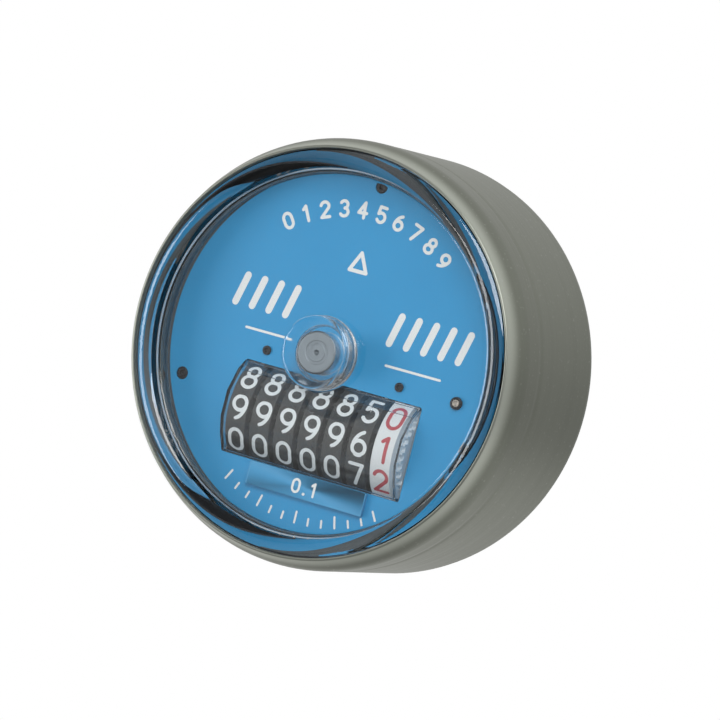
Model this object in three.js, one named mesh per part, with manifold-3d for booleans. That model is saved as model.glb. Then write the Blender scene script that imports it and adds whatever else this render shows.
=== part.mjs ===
// Hub odometer: a sealed distance counter that bolts to the middle of a truck's wheel hub.
// The case, the lens and the shaft with its worm turn with the wheel. The dial, the counter and its
// gears hang on two bushes, held upright by a heavy weight, so the worm drives the counter.
// Millimetres. The wheel's axis runs along Y, the dial faces -Y and Z points up.
// The origin is the centre of the case's rear face, which sits on the hub.

import * as THREE from 'three';
import { mergeVertices } from 'three/addons/utils/BufferGeometryUtils.js';
import Module from 'manifold-3d';

// Clearances
const seatGap = 0.1;
const pressGap = 0.1;
const carryGap = 0.3;
const runningGap = 0.35;
const overrun = 0.4;

// Case
const caseRadius = 39;
const caseDepth = 37;
const caseWall = 1.2;
const lipInset = 2.3;
const lipFlat = 0.45;
const lipRollLength = 3.8;
const shoulderLength = 4.4;
const shoulderBlend = 1.6;
const rearCornerRadius = 2.6;
const beadHalfLength = 1.1;
const beadDent = 0.14;
const beadRise = 0.6;
const spacerLength = 2.4;
const spacerLedgeReach = 1.35;

// Lens
const annulusWidth = 3;
const annulusCrown = 0.5;
const dishDepth = 2.6;
const dishWallRun = 0.5;
const dishFillet = 0.7;
const lensThickness = 1.5;
const skirtGap = 0.8;
const skirtWall = 3.4;
const lensFlangeThickness = 1.5;
const bossRadius = 6.7;
const bossEdgeRadius = 0.7;
const bossProud = 0.5;
const bossCeiling = 1.5;
const sleeveWall = 1;
const sleeveLength = 2.9;

// Stud, washer and nut
const studRadius = 6.35;
const studHoleGap = 0.15;
const studEnd = 1.8;
const studChamfer = 1;
const studFlangeRadius = 8.5;
const studFlangeThickness = 1.3;
const studFlangeGap = 0.5;
const studBoreDepth = 6;
const hubWall = 5;
const washerRadius = 10.4;
const washerThickness = 1.6;
const nutAcrossFlats = 19;
const nutThickness = 8;

// Shaft, worm and bushes
const shaftRadius = 1.9;
const shaftHeadRadius = 3.8;
const shaftHeadLength = 4.4;
const wormWall = 0.8;
const wormTurns = 5;
const bushWall = 0.8;
const bushLength = 4;
const bushFlangeRadius = 4.6;
const bushFlangeThickness = 0.8;
const clipWidth = 0.8;
const clipReach = 1.4;

// Dial
const dialThickness = 1;
const dialEdgeGap = 1.6;
const dialOverhang = 2.8;
const dialCentreHole = 3.4;
const unitPlateWidth = 24;
const unitPlateHeight = 4.3;
const unitPlateThickness = 0.8;
const unitPlateCentre = 0.9;
const pillarInset = 2;
const pillarAngles = [89, 200, 341];
const pillarRadius = 1.7;
const pillarEndRadius = 1.1;
const dialScrewHeadRadius = 0.85;
const dialScrewHeadThickness = 0.3;
const dialScrewShankRadius = 0.5;
const dialScrewSpread = 13.7;
const dialScrewRise = 1.15;
const rivetHeadRadius = 1.15;
const rivetHeadThickness = 0.5;
const rivetShankRadius = 0.7;

// Counter
const wheelCount = 7;
const wheelRadius = 9.7;
const wheelPitch = 5;
const tenthsWheelX = 15.4;
const counterShaftRadius = 1;
const coverWall = 0.5;
const coverGap = 0.65;
const coverBulge = 4.7;
const coverFacetAngles = [51, 28, 0, -23.5, -36];
const coverInsert = 0.15;
const windowFit = 0.15;

// Frame and back plate
const plateThickness = 1.2;
const sidePlateGap = 1.4;
const axleMargin = 1.65;
const bridgeLip = 0.75;
const bridgeTop = 5;
const flangeReach = 5.4;
const footHalfHeight = 4;
const footSpread = 9;
const screwHeadRadius = 1.8;
const screwHeadThickness = 0.9;
const screwShankRadius = 1;
const screwReach = 4;

// Pendulum weight
const weightInset = 0.2;
const weightFrontGap = 0.9;
const weightWheelGap = 0.7;
const weightScrewSpread = 10;
const weightScrewDrop = 14.5;
const weightTopDrop = 6;
const balanceCutback = 4.6;

// Gear train, from the worm wheel to the tenths wheel
const wormWheelTeeth = 51;
const wormWheelWidth = 2;
const wormWheelGap = 0.685;
const drivePinionTeeth = 12;
const idlerTeeth = 30;
const compoundTeeth = 40;
const compoundPinionTeeth = 10;
const ringGearTeeth = 30;
const ringModule = 0.5;
const ringGearWidth = 0.7;
const trainGap = 1.2;
const trainGearWidth = 1;
const trainSlackShare = 1.054;
const crossShaftRadius = 1.2;
const axleRadius = 1;
const compoundAngle = 59;

// Carry gears between the counter wheels. The digits shown run from the tenths wheel to the left.
const shownDigits = [1, 6, 9, 9, 9, 9, 9];
const digitCount = 10;
const wheelGearTeeth = 20;
const transferPinionTeeth = 8;
const wheelGearWidth = 0.45;
const carryCamWidth = 0.45;
const carryToothHeight = 0.8;
const carryNotchDepth = 0.5;
const transferHubRadius = 1.25;
const transferHubGap = 0.25;
const transferShaftRadius = 0.75;
const transferAngle = -45;

// Tooth shape, as shares of the module and of the tooth pitch
const addendumShare = 0.6;
const dedendumShare = 1;
const toothRootShare = 0.21;
const toothTipShare = 0.13;

// Segments of round pieces
const caseSides = 48;
const lensSides = 40;
const wheelSides = 28;
const plateSides = 40;
const weightSides = 14;
const studSides = 20;
const cornerSteps = 3;
const nutSides = 6;
const shaftSides = 12;
const pinSides = 8;
const threadSides = 10;

const wasm = await Module();
wasm.setup();

function radians(degrees) {
  return THREE.MathUtils.degToRad(degrees);
}

function polar(radius, angle) {
  return [radius * Math.cos(angle), radius * Math.sin(angle)];
}

// Geometry helpers

function welded(geometry) {
  geometry.deleteAttribute('normal');
  geometry.deleteAttribute('uv');
  const merged = mergeVertices(geometry);
  const source = merged.index.array;
  const kept = [];
  for (let i = 0; i < source.length; i += 3) {
    const [a, b, c] = source.slice(i, i + 3);
    if (a !== b && b !== c && c !== a) kept.push(a, b, c);
  }
  merged.setIndex(kept);
  return merged;
}

function signedVolume(geometry) {
  const place = geometry.attributes.position;
  const [a, b, c] = [new THREE.Vector3(), new THREE.Vector3(), new THREE.Vector3()];
  let volume = 0;
  for (let i = 0; i < geometry.index.count; i += 3) {
    a.fromBufferAttribute(place, geometry.index.getX(i));
    b.fromBufferAttribute(place, geometry.index.getX(i + 1));
    c.fromBufferAttribute(place, geometry.index.getX(i + 2));
    volume += a.dot(b.cross(c));
  }
  return volume;
}

function facingOut(geometry) {
  const closed = welded(geometry);
  if (signedVolume(closed) < 0) closed.setIndex(Array.from(closed.index.array).reverse());
  return closed;
}

function toSolid(geometry) {
  const closed = facingOut(geometry);
  const mesh = new wasm.Mesh({
    numProp: 3,
    vertProperties: new Float32Array(closed.attributes.position.array),
    triVerts: new Uint32Array(closed.index.array),
  });
  return new wasm.Manifold(mesh);
}

function toGeometry(solid) {
  const mesh = solid.getMesh();
  const geometry = new THREE.BufferGeometry();
  geometry.setAttribute('position', new THREE.BufferAttribute(mesh.vertProperties, 3));
  geometry.setIndex(Array.from(mesh.triVerts));
  return geometry;
}

function joined(first, ...others) {
  return toGeometry(others.reduce((whole, next) => whole.add(toSolid(next)), toSolid(first)));
}

function cut(base, ...tools) {
  return toGeometry(tools.reduce((whole, tool) => whole.subtract(toSolid(tool)), toSolid(base)));
}

function turned(profile, sides) {
  const points = profile.map(([radius, y]) => new THREE.Vector2(radius, y));
  return facingOut(new THREE.LatheGeometry(points, sides));
}

function ring(outerRadius, innerRadius, front, back, sides) {
  const corners = [[innerRadius, front], [outerRadius, front], [outerRadius, back], [innerRadius, back]];
  return turned([...corners, corners[0]], sides);
}

function pin(radius, front, back, sides) {
  return turned([[0, front], [radius, front], [radius, back], [0, back]], sides);
}

function pinAcross(radius, left, right, [y, z], sides) {
  return pin(radius, left, right, sides).rotateZ(-Math.PI / 2).translate(0, y, z);
}

function box(left, right, front, back, bottom, top) {
  const block = new THREE.BoxGeometry(right - left, back - front, top - bottom);
  return facingOut(block.translate((left + right) / 2, (front + back) / 2, (bottom + top) / 2));
}

function circle(radius, sides, [x, y] = [0, 0]) {
  return Array.from({ length: sides }, (_, i) => {
    const [across, up] = polar(radius, (2 * Math.PI * i) / sides);
    return new THREE.Vector2(x + across, y + up);
  });
}

function shapeOf(outline, holes = []) {
  const shape = new THREE.Shape(outline);
  shape.holes = holes.map((hole) => new THREE.Path(hole));
  return shape;
}

// A plate across the wheel's axis: its outline is drawn in X and Z.
function facingPlate(shape, front, back) {
  const plate = new THREE.ExtrudeGeometry(shape, { depth: back - front, bevelEnabled: false });
  return facingOut(plate.rotateX(Math.PI / 2).translate(0, back, 0));
}

// A plate along the wheel's axis: its outline is drawn in Y and Z.
function sidePlate(shape, left, right) {
  const plate = new THREE.ExtrudeGeometry(shape, { depth: right - left, bevelEnabled: false });
  const turn = new THREE.Matrix4().makeBasis(
    new THREE.Vector3(0, 1, 0),
    new THREE.Vector3(0, 0, 1),
    new THREE.Vector3(1, 0, 0),
  );
  return facingOut(plate.applyMatrix4(turn).translate(left, 0, 0));
}

// A tooth's corners, at an angle about a centre and as shares of the step from tooth to tooth.
function tooth(root, tip, middle, step, [y, z]) {
  return [
    [root, -toothRootShare],
    [tip, -toothTipShare],
    [tip, toothTipShare],
    [root, toothRootShare],
  ].map(([radius, share]) => {
    const [across, up] = polar(radius, middle + share * step);
    return new THREE.Vector2(y + across, z + up);
  });
}

function gearOutline(teeth, module, phase, centre) {
  const pitchRadius = (teeth * module) / 2;
  const root = pitchRadius - dedendumShare * module;
  const tip = pitchRadius + addendumShare * module;
  const step = (2 * Math.PI) / teeth;
  return Array.from({ length: teeth }, (_, i) => tooth(root, tip, phase + i * step, step, centre)).flat();
}

function gear(teeth, module, phase, centre, boreRadius, left, right) {
  const outline = gearOutline(teeth, module, phase, centre);
  return sidePlate(shapeOf(outline, [circle(boreRadius, pinSides, centre)]), left, right);
}

// The phase that sets a gear's tooth gaps on the teeth of the gear that it meshes with.
function meshingPhase(teethA, phaseA, centreA, teethB, centreB) {
  const line = Math.atan2(centreB[1] - centreA[1], centreB[0] - centreA[0]);
  const share = ((line - phaseA) * teethA) / (2 * Math.PI);
  return line + Math.PI - ((1 / 2 - share) * 2 * Math.PI) / teethB;
}

function pitchRadiusOf(teeth, module) {
  return (teeth * module) / 2;
}

// A screw or rivet along the wheel's axis. Its head is at headEnd, its shank ends at tipEnd.
function fastener(x, z, headEnd, headThickness, headRadius, shankRadius, tipEnd) {
  const shoulder = headEnd + Math.sign(tipEnd - headEnd) * headThickness;
  const profile = [[0, headEnd], [headRadius, headEnd], [headRadius, shoulder],
    [shankRadius, shoulder], [shankRadius, tipEnd], [0, tipEnd]];
  return turned(profile, pinSides).translate(x, 0, z);
}

// A worm's thread: a ridge wound round the Y axis on a core, and sunk into it by its root.
function helicalRidge(coreRadius, sink, tipRadius, pitch, middle) {
  const steps = wormTurns * threadSides;
  const corners = [
    [coreRadius - sink, -toothRootShare],
    [coreRadius, -toothRootShare],
    [tipRadius, -toothTipShare],
    [tipRadius, toothTipShare],
    [coreRadius, toothRootShare],
    [coreRadius - sink, toothRootShare],
  ];
  const points = [];
  for (let i = 0; i <= steps; i += 1) {
    const turn = i / threadSides - wormTurns / 2;
    for (const [radius, share] of corners) {
      const [z, x] = polar(radius, 2 * Math.PI * turn);
      points.push(x, middle + (turn + share) * pitch, z);
    }
  }
  const faces = [];
  const count = corners.length;
  for (let i = 0; i < steps; i += 1) {
    for (let j = 0; j < count; j += 1) {
      const [a, b] = [i * count + j, i * count + ((j + 1) % count)];
      faces.push(a, b, b + count, a, b + count, a + count);
    }
  }
  for (let j = 1; j < count - 1; j += 1) {
    const end = steps * count;
    faces.push(0, j + 1, j, end, end + j, end + j + 1);
  }
  const geometry = new THREE.BufferGeometry();
  geometry.setAttribute('position', new THREE.Float32BufferAttribute(points, 3));
  geometry.setIndex(faces);
  return facingOut(geometry);
}

function named(name, geometry, colour, roughness, metalness) {
  const material = new THREE.MeshStandardMaterial({ color: colour, roughness, metalness });
  const mesh = new THREE.Mesh(geometry, material);
  mesh.name = name;
  return mesh;
}

// Depths behind the lip, from the lens to the case's floor

const dialDepth = dishDepth + lensThickness + coverGap + coverBulge;
const skirtDepth = dialDepth - skirtGap;
const beadDepth = skirtDepth + spacerLength + seatGap * 2;
const floorGap = seatGap + studFlangeThickness + studFlangeGap;

function frontOf(depth) {
  return depth - caseDepth;
}

const dialFront = frontOf(dialDepth);
const dialBack = dialFront + dialThickness;
const backPlateBack = -caseWall - floorGap;
const backPlateFront = backPlateBack - plateThickness;
const rearBushFront = backPlateBack - bushLength;
const clipBack = rearBushFront - seatGap;
const dishFloor = frontOf(dishDepth);
const lensInner = dishFloor + lensThickness;
const sleeveEnd = lensInner + sleeveLength;
const bossTop = frontOf(-bossProud);
const socketEnd = bossTop + bossCeiling;
const shaftFront = socketEnd + pressGap;
const lensFlangeFront = frontOf(skirtDepth - lensFlangeThickness);
const bridgeFront = dialBack + runningGap;
const bridgeBack = bridgeFront + plateThickness;
const sidePlateFront = bridgeBack + seatGap;
const sidePlateBack = backPlateFront - seatGap;
const flangeBack = sidePlateFront + plateThickness;
const footFront = sidePlateBack - plateThickness;

// The counter hangs just under the bridge, which holds the front bush

const bushRadius = shaftRadius + pressGap + bushWall;
const bushHoleRadius = bushRadius + pressGap;
const bridgeBottom = -bushHoleRadius - bridgeLip;
const counterAxis = [
  dialFront + wheelRadius + runningGap + coverWall - coverBulge,
  bridgeBottom - runningGap - wheelRadius,
];
const wheelDrop = counterAxis[0] - dialBack;
const windowHalf = Math.sqrt(wheelRadius ** 2 - wheelDrop ** 2) + runningGap;
const windowTop = counterAxis[1] + windowHalf;
const windowBottom = counterAxis[1] - windowHalf;
const dialScrewZ = bridgeBottom + dialScrewRise;

// Places along the counter's shaft, from the tenths wheel to the side plates

const rimWidth = wheelPitch - wheelGearWidth - carryCamWidth - carryGap;
const transferPinionWidth = wheelPitch - rimWidth - carryGap;
const wheelsLeft = tenthsWheelX - wheelPitch * (wheelCount - 1) - rimWidth / 2;
const wheelsRight = tenthsWheelX + rimWidth / 2;
const ringGearRight = wheelsRight + ringGearWidth;
const coverLeft = wheelsLeft - runningGap - coverWall;
const coverRight = ringGearRight + runningGap + coverWall;
const windowLeft = coverLeft - windowFit;
const windowRight = coverRight + windowFit;
const trainLeft = ringGearRight + trainGap;
const trainRight = trainLeft + trainGearWidth;
const leftPlateInner = coverLeft - sidePlateGap;
const leftPlateOuter = leftPlateInner - plateThickness;
const leftFlangeEnd = leftPlateOuter - flangeReach;
const rightPlateInner = trainRight + trainGap;
const rightPlateOuter = rightPlateInner + plateThickness;
const rightFlangeEnd = rightPlateOuter + flangeReach;
const leftRivetX = (leftPlateOuter + leftFlangeEnd) / 2;
const rightRivetX = (rightPlateOuter + rightFlangeEnd) / 2;

// Axes of the gears, as Y and Z

const wormWheelRoom = backPlateFront - dialBack - wormWheelGap * 2;
const wormModule = wormWheelRoom / (wormWheelTeeth + addendumShare * 2);
const wormCore = shaftRadius + pressGap + wormWall;
const wormPitchRadius = wormCore + dedendumShare * wormModule;
const crossAxis = [
  (dialBack + backPlateFront) / 2,
  pitchRadiusOf(wormWheelTeeth, wormModule) + wormPitchRadius,
];
const compoundAxis = axisBeside(
  counterAxis,
  pitchRadiusOf(ringGearTeeth + compoundPinionTeeth, ringModule),
  compoundAngle,
);
const trainTeeth = drivePinionTeeth + idlerTeeth * 2 + compoundTeeth;
const trainSpan = Math.hypot(crossAxis[0] - compoundAxis[0], crossAxis[1] - compoundAxis[1]);
const trainModule = (trainSpan * trainSlackShare * 2) / trainTeeth;
const idlerAxis = meetingPoint(
  compoundAxis,
  pitchRadiusOf(compoundTeeth + idlerTeeth, trainModule),
  crossAxis,
  pitchRadiusOf(drivePinionTeeth + idlerTeeth, trainModule),
);
const carryCentre = wheelRadius + transferHubRadius + transferHubGap;
const carryModule = (carryCentre * 2) / (wheelGearTeeth + transferPinionTeeth);
const transferAxis = axisBeside(counterAxis, carryCentre, transferAngle);
const transferTip = pitchRadiusOf(transferPinionTeeth, carryModule) + addendumShare * carryModule;
const sidePlateTop = crossAxis[1] + crossShaftRadius + axleMargin;
const sidePlateBottom = transferAxis[1] - transferShaftRadius - axleMargin;

// Radii, from the case in to the back plate

const caseInner = caseRadius - caseWall;
const lipRadius = caseRadius - lipInset;
const lensRadius = lipRadius - runningGap;
const lensFlangeRadius = caseInner - runningGap;
const dialRadius = caseInner - dialEdgeGap;
const backPlateRadius = dialRadius - dialOverhang;
const pillarCircleRadius = backPlateRadius - pillarInset;
const weightRadius = backPlateRadius - weightInset;

function axisBeside([y, z], distance, angle) {
  const [across, up] = polar(distance, radians(angle));
  return [y + across, z + up];
}

// Where two centre distances meet, on the side of the line that faces the back plate.
function meetingPoint(from, fromDistance, to, toDistance) {
  const [across, up] = [to[0] - from[0], to[1] - from[1]];
  const apart = Math.hypot(across, up);
  const along = (fromDistance ** 2 - toDistance ** 2 + apart ** 2) / (2 * apart);
  const aside = Math.sqrt(fromDistance ** 2 - along ** 2);
  return [
    from[0] + (across * along + up * aside) / apart,
    from[1] + (up * along - across * aside) / apart,
  ];
}

// Case, lens and hub fittings: all turn with the road wheel

function quarterRound(centreRadius, centreY, radius, startAngle) {
  return Array.from({ length: cornerSteps + 1 }, (_, i) => {
    const [across, along] = polar(radius, radians(startAngle + (90 * i) / cornerSteps));
    return [centreRadius + across, centreY + along];
  });
}

// A corner rounded by a curve that starts and ends at one distance from it.
function blendedCorner(before, corner, after, reach) {
  const towards = ([x, y]) => {
    const length = Math.hypot(x - corner[0], y - corner[1]);
    return [corner[0] + ((x - corner[0]) * reach) / length, corner[1] + ((y - corner[1]) * reach) / length];
  };
  const [start, end] = [towards(before), towards(after)];
  return Array.from({ length: cornerSteps + 1 }, (_, i) => {
    const share = i / cornerSteps;
    const [first, middle, last] = [(1 - share) ** 2, share * (1 - share) * 2, share ** 2];
    return [0, 1].map((axis) => start[axis] * first + corner[axis] * middle + end[axis] * last);
  });
}

function caseShell() {
  const lip = frontOf(0);
  const shoulder = frontOf(shoulderLength);
  const bead = frontOf(beadDepth);
  const innerCorner = rearCornerRadius - caseWall;
  const lipEdge = [lipRadius + lipFlat, lip];
  const beadStart = [caseRadius, bead - beadHalfLength];
  const outside = [
    [lipRadius, lip],
    lipEdge,
    ...blendedCorner(lipEdge, [caseRadius, shoulder], beadStart, shoulderBlend),
    beadStart,
    [caseRadius - beadDent, bead],
    [caseRadius, bead + beadHalfLength],
    ...quarterRound(caseRadius - rearCornerRadius, -rearCornerRadius, rearCornerRadius, 0),
  ];
  const inside = [
    [studRadius + studHoleGap, 0],
    [studRadius + studHoleGap, -caseWall],
    ...quarterRound(caseInner - innerCorner, -caseWall - innerCorner, innerCorner, 0).reverse(),
    [caseInner, bead + beadHalfLength],
    [caseInner - beadRise, bead],
    [caseInner, bead - beadHalfLength],
    [caseInner, lip + lipRollLength],
    [lipRadius, lip + caseWall],
    [lipRadius, lip],
  ];
  return turned([...outside, ...inside], caseSides);
}

// The rounded front of the lens's ring, from its inner edge to its outer edge.
function crown(inner, outer, edge, rise) {
  const half = (outer - inner) / 2;
  const radius = (half ** 2 + rise ** 2) / (rise * 2);
  const widest = Math.asin(half / radius);
  return Array.from({ length: cornerSteps + 1 }, (_, i) => {
    const angle = widest * ((i * 2) / cornerSteps - 1);
    return [inner + half + radius * Math.sin(angle), edge - rise + radius * (1 - Math.cos(angle))];
  });
}

function lens() {
  const skirtEnd = frontOf(skirtDepth);
  const annulusInner = lensRadius - annulusWidth;
  const dishRadius = annulusInner - dishWallRun;
  const skirtInner = lensFlangeRadius - skirtWall;
  const socketRadius = shaftHeadRadius + pressGap;
  return turned([
    [0, bossTop],
    ...quarterRound(bossRadius - bossEdgeRadius, bossTop + bossEdgeRadius, bossEdgeRadius, -90),
    [bossRadius, dishFloor],
    [dishRadius - dishFillet, dishFloor],
    [dishRadius, dishFloor - dishFillet / 2],
    ...crown(annulusInner, lensRadius, frontOf(annulusCrown), annulusCrown),
    [lensRadius, lensFlangeFront],
    [lensFlangeRadius, lensFlangeFront],
    [lensFlangeRadius, skirtEnd],
    [skirtInner, skirtEnd],
    [skirtInner, lensInner],
    [socketRadius + sleeveWall, lensInner],
    [socketRadius + sleeveWall, sleeveEnd],
    [socketRadius, sleeveEnd],
    [socketRadius, socketEnd],
    [0, socketEnd],
  ], lensSides);
}

function lensGasket() {
  const front = frontOf(lipRollLength) + seatGap;
  return ring(lensFlangeRadius, lensRadius + seatGap, front, lensFlangeFront - seatGap, lensSides);
}

function spacerRing() {
  const front = frontOf(skirtDepth) + seatGap;
  const back = frontOf(beadDepth) - seatGap;
  const outer = caseInner - beadRise - seatGap;
  const inner = dialRadius + runningGap;
  const ledgeBack = dialFront - runningGap;
  return turned([
    [inner - spacerLedgeReach, front],
    [outer, front],
    [outer, back],
    [inner, back],
    [inner, ledgeBack],
    [inner - spacerLedgeReach, ledgeBack],
    [inner - spacerLedgeReach, front],
  ], lensSides);
}

function mountingStud() {
  const flangeFront = -caseWall - seatGap - studFlangeThickness;
  const studLength = hubWall + washerThickness + seatGap + nutThickness + studEnd;
  return turned([
    [shaftRadius + pressGap, flangeFront],
    [studFlangeRadius, flangeFront],
    [studFlangeRadius, flangeFront + studFlangeThickness],
    [studRadius, flangeFront + studFlangeThickness],
    [studRadius, studLength - studChamfer],
    [studRadius - studChamfer, studLength],
    [0, studLength],
    [0, studBoreDepth],
    [shaftRadius + pressGap, studBoreDepth],
    [shaftRadius + pressGap, flangeFront],
  ], studSides);
}

function hubNut() {
  const front = hubWall + washerThickness + seatGap;
  const corner = nutAcrossFlats / 2 / Math.cos(Math.PI / nutSides);
  const shape = shapeOf(circle(corner, nutSides), [circle(studRadius + seatGap, studSides)]);
  return facingPlate(shape, front, front + nutThickness);
}

function mainShaft() {
  return turned([
    [0, shaftFront],
    [shaftHeadRadius, shaftFront],
    [shaftHeadRadius, shaftFront + shaftHeadLength],
    [shaftRadius, shaftFront + shaftHeadLength],
    [shaftRadius, studBoreDepth - pressGap],
    [0, studBoreDepth - pressGap],
  ], shaftSides);
}

// The worm is a sleeve with a thread, pressed on the shaft under the worm wheel.
function worm() {
  const pitch = Math.PI * wormModule;
  const tip = wormPitchRadius + addendumShare * wormModule;
  const [middle] = crossAxis;
  const reach = (wormTurns / 2 + 1) * pitch;
  const sleeve = ring(wormCore, shaftRadius + pressGap, middle - reach, middle + reach, shaftSides);
  const ridge = helicalRidge(wormCore, wormWall / 2, tip, pitch, middle + pitch / 2);
  return joined(sleeve, ridge);
}

// The clip sits just in front of the rear bush and keeps the movement from sliding on the shaft.
function shaftClip() {
  const bore = shaftRadius + pressGap;
  return ring(bore + clipReach, bore, clipBack - clipWidth, clipBack, shaftSides);
}

// Colour, roughness and metalness
const steel = [0x8b8f86, 0.42, 0.9];
const brightSteel = [0xb8bab8, 0.3, 1];
const clear = [0xdfe8ec, 0.08, 0];
const rubber = [0x1b1d1f, 0.8, 0];
const brass = [0xb08d4a, 0.35, 1];
const darkPlastic = [0x141517, 0.5, 0];
const whitePlastic = [0xe8e6e0, 0.5, 0];
const nylon = [0xe4dfcf, 0.55, 0];
const dialBlue = [0x2f8fc9, 0.5, 0.1];
const paleBlue = [0x6fb0da, 0.5, 0.1];
const zinc = [0x7d8084, 0.6, 0.8];
const darkSteel = [0x2b2d30, 0.5, 0.7];

const wheelSide = new THREE.Group();
wheelSide.add(
  named('case_shell', caseShell(), ...steel),
  named('lens', lens(), ...clear),
  named('lens_gasket', lensGasket(), ...rubber),
  named('spacer_ring', spacerRing(), ...darkSteel),
  named('mounting_stud', mountingStud(), ...brightSteel),
  named('lock_washer', ring(washerRadius, studRadius + seatGap, hubWall, hubWall + washerThickness,
    studSides), ...brightSteel),
  named('hub_nut', hubNut(), ...brightSteel),
  named('main_shaft', mainShaft(), ...brightSteel),
  named('worm', worm(), ...brass),
  named('shaft_clip', shaftClip(), ...brightSteel),
);

// Dial and what is fixed to it

const pillarPlaces = pillarAngles.map((angle) => polar(pillarCircleRadius, radians(angle)));

function rectangle(left, right, bottom, top) {
  return [[left, bottom], [right, bottom], [right, top], [left, top]].map(
    ([x, y]) => new THREE.Vector2(x, y),
  );
}

function dialPlate() {
  const holes = [
    rectangle(windowLeft, windowRight, windowBottom, windowTop),
    circle(dialCentreHole, shaftSides),
    ...pillarPlaces.map((place) => circle(pillarEndRadius + pressGap, pinSides, place)),
    ...[-dialScrewSpread, dialScrewSpread].map(
      (x) => circle(dialScrewShankRadius + pressGap, pinSides, [x, dialScrewZ]),
    ),
    circle(rivetShankRadius + pressGap, pinSides, [rightRivetX, dialScrewZ]),
  ];
  return facingPlate(shapeOf(circle(dialRadius, plateSides), holes), dialFront, dialBack);
}

function unitPlate() {
  const middle = unitPlateCentre;
  const shape = shapeOf(rectangle(
    middle - unitPlateWidth / 2,
    middle + unitPlateWidth / 2,
    windowBottom - unitPlateHeight,
    windowBottom,
  ));
  return facingPlate(shape, dialFront - seatGap - unitPlateThickness, dialFront - seatGap);
}

// The cover's section: flat facets that all lie at one distance from the counter's axis,
// and straight walls where they meet the window's edges.
function coverSection(distance, wall, rimForward) {
  const edge = windowHalf - windowFit - wall;
  const angles = coverFacetAngles.map(radians);
  const point = (forward, up) => new THREE.Vector2(counterAxis[0] - forward, counterAxis[1] + up);
  const atEdge = (angle, up) => (distance - up * Math.sin(angle)) / Math.cos(angle);
  const between = angles.slice(1).map((angle, i) => {
    const radius = distance / Math.cos((angles[i] - angle) / 2);
    const [forward, up] = polar(radius, (angles[i] + angle) / 2);
    return point(forward, up);
  });
  return [
    point(rimForward, edge),
    point(atEdge(angles[0], edge), edge),
    ...between,
    point(atEdge(angles.at(-1), -edge), -edge),
    point(rimForward, -edge),
  ];
}

function counterCover() {
  const rimForward = counterAxis[0] - dialFront - coverInsert;
  const inner = wheelRadius + runningGap;
  const outside = sidePlate(shapeOf(coverSection(inner + coverWall, 0, rimForward)), coverLeft,
    coverRight);
  const inside = sidePlate(
    shapeOf(coverSection(inner, coverWall, rimForward - overrun)),
    coverLeft + coverWall,
    coverRight - coverWall,
  );
  return cut(outside, inside);
}

function pillar([x, z]) {
  return turned([
    [0, dialFront],
    [pillarEndRadius, dialFront],
    [pillarEndRadius, dialBack + seatGap],
    [pillarRadius, dialBack + seatGap],
    [pillarRadius, backPlateFront - seatGap],
    [pillarEndRadius, backPlateFront - seatGap],
    [pillarEndRadius, backPlateBack],
    [0, backPlateBack],
  ], pinSides).translate(x, 0, z);
}

function dialScrew(x) {
  const head = dialFront - seatGap - dialScrewHeadThickness;
  return fastener(x, dialScrewZ, head, dialScrewHeadThickness, dialScrewHeadRadius,
    dialScrewShankRadius, bridgeBack);
}

// Frame of the movement: bridge, side plates, back plate, bushes and weight

function frontBridge() {
  const holes = [
    circle(bushHoleRadius, shaftSides),
    ...[-dialScrewSpread, dialScrewSpread].map(
      (x) => circle(dialScrewShankRadius + pressGap, pinSides, [x, dialScrewZ]),
    ),
    circle(rivetShankRadius + pressGap, pinSides, [rightRivetX, dialScrewZ]),
    circle(rivetShankRadius + pressGap, pinSides, [leftRivetX, 0]),
  ];
  const outline = rectangle(leftFlangeEnd, rightFlangeEnd, bridgeBottom, bridgeTop);
  return facingPlate(shapeOf(outline, holes), bridgeFront, bridgeBack);
}

function sideFrame(inner, outer, flangeEnd, rivetPlace, axles) {
  const outline = rectangle(sidePlateFront, sidePlateBack, sidePlateBottom, sidePlateTop);
  const holes = axles.map(([axis, radius]) => circle(radius + pressGap, pinSides, axis));
  const [low, high] = [Math.min(inner, outer), Math.max(inner, outer)];
  const [flangeLow, flangeHigh] = [Math.min(inner, flangeEnd), Math.max(inner, flangeEnd)];
  const feet = [-footSpread, footSpread].map((z) => box(flangeLow, flangeHigh, footFront,
    sidePlateBack, z - footHalfHeight, z + footHalfHeight));
  const footHoles = [-footSpread, footSpread].map((z) => footScrewHole(outer, flangeEnd, z));
  const [rivetHoleX, rivetHoleZ] = rivetPlace;
  const frame = joined(
    sidePlate(shapeOf(outline, holes), low, high),
    box(flangeLow, flangeHigh, sidePlateFront, flangeBack, bridgeBottom, bridgeTop),
    ...feet,
  );
  const rivetHole = pin(rivetShankRadius + pressGap, sidePlateFront - overrun, flangeBack + overrun,
    pinSides).translate(rivetHoleX, 0, rivetHoleZ);
  return cut(frame, rivetHole, ...footHoles);
}

function footMiddle(outer, flangeEnd) {
  return (outer + flangeEnd) / 2;
}

function footScrewHole(outer, flangeEnd, z) {
  return pin(screwShankRadius + pressGap, footFront - overrun, sidePlateBack + overrun, pinSides)
    .translate(footMiddle(outer, flangeEnd), 0, z);
}

const footScrewPlaces = [[leftPlateOuter, leftFlangeEnd], [rightPlateOuter, rightFlangeEnd]]
  .flatMap(([outer, end]) => [-footSpread, footSpread].map((z) => [footMiddle(outer, end), z]));
const weightScrewPlaces = [-weightScrewSpread, weightScrewSpread].map((x) => [x, -weightScrewDrop]);

function backPlate() {
  const holes = [
    circle(bushHoleRadius, shaftSides),
    ...pillarPlaces.map((place) => circle(pillarEndRadius + pressGap, pinSides, place)),
    ...[...footScrewPlaces, ...weightScrewPlaces].map(
      (place) => circle(screwShankRadius + pressGap, pinSides, place),
    ),
  ];
  return facingPlate(shapeOf(circle(backPlateRadius, plateSides), holes), backPlateFront, backPlateBack);
}

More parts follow.
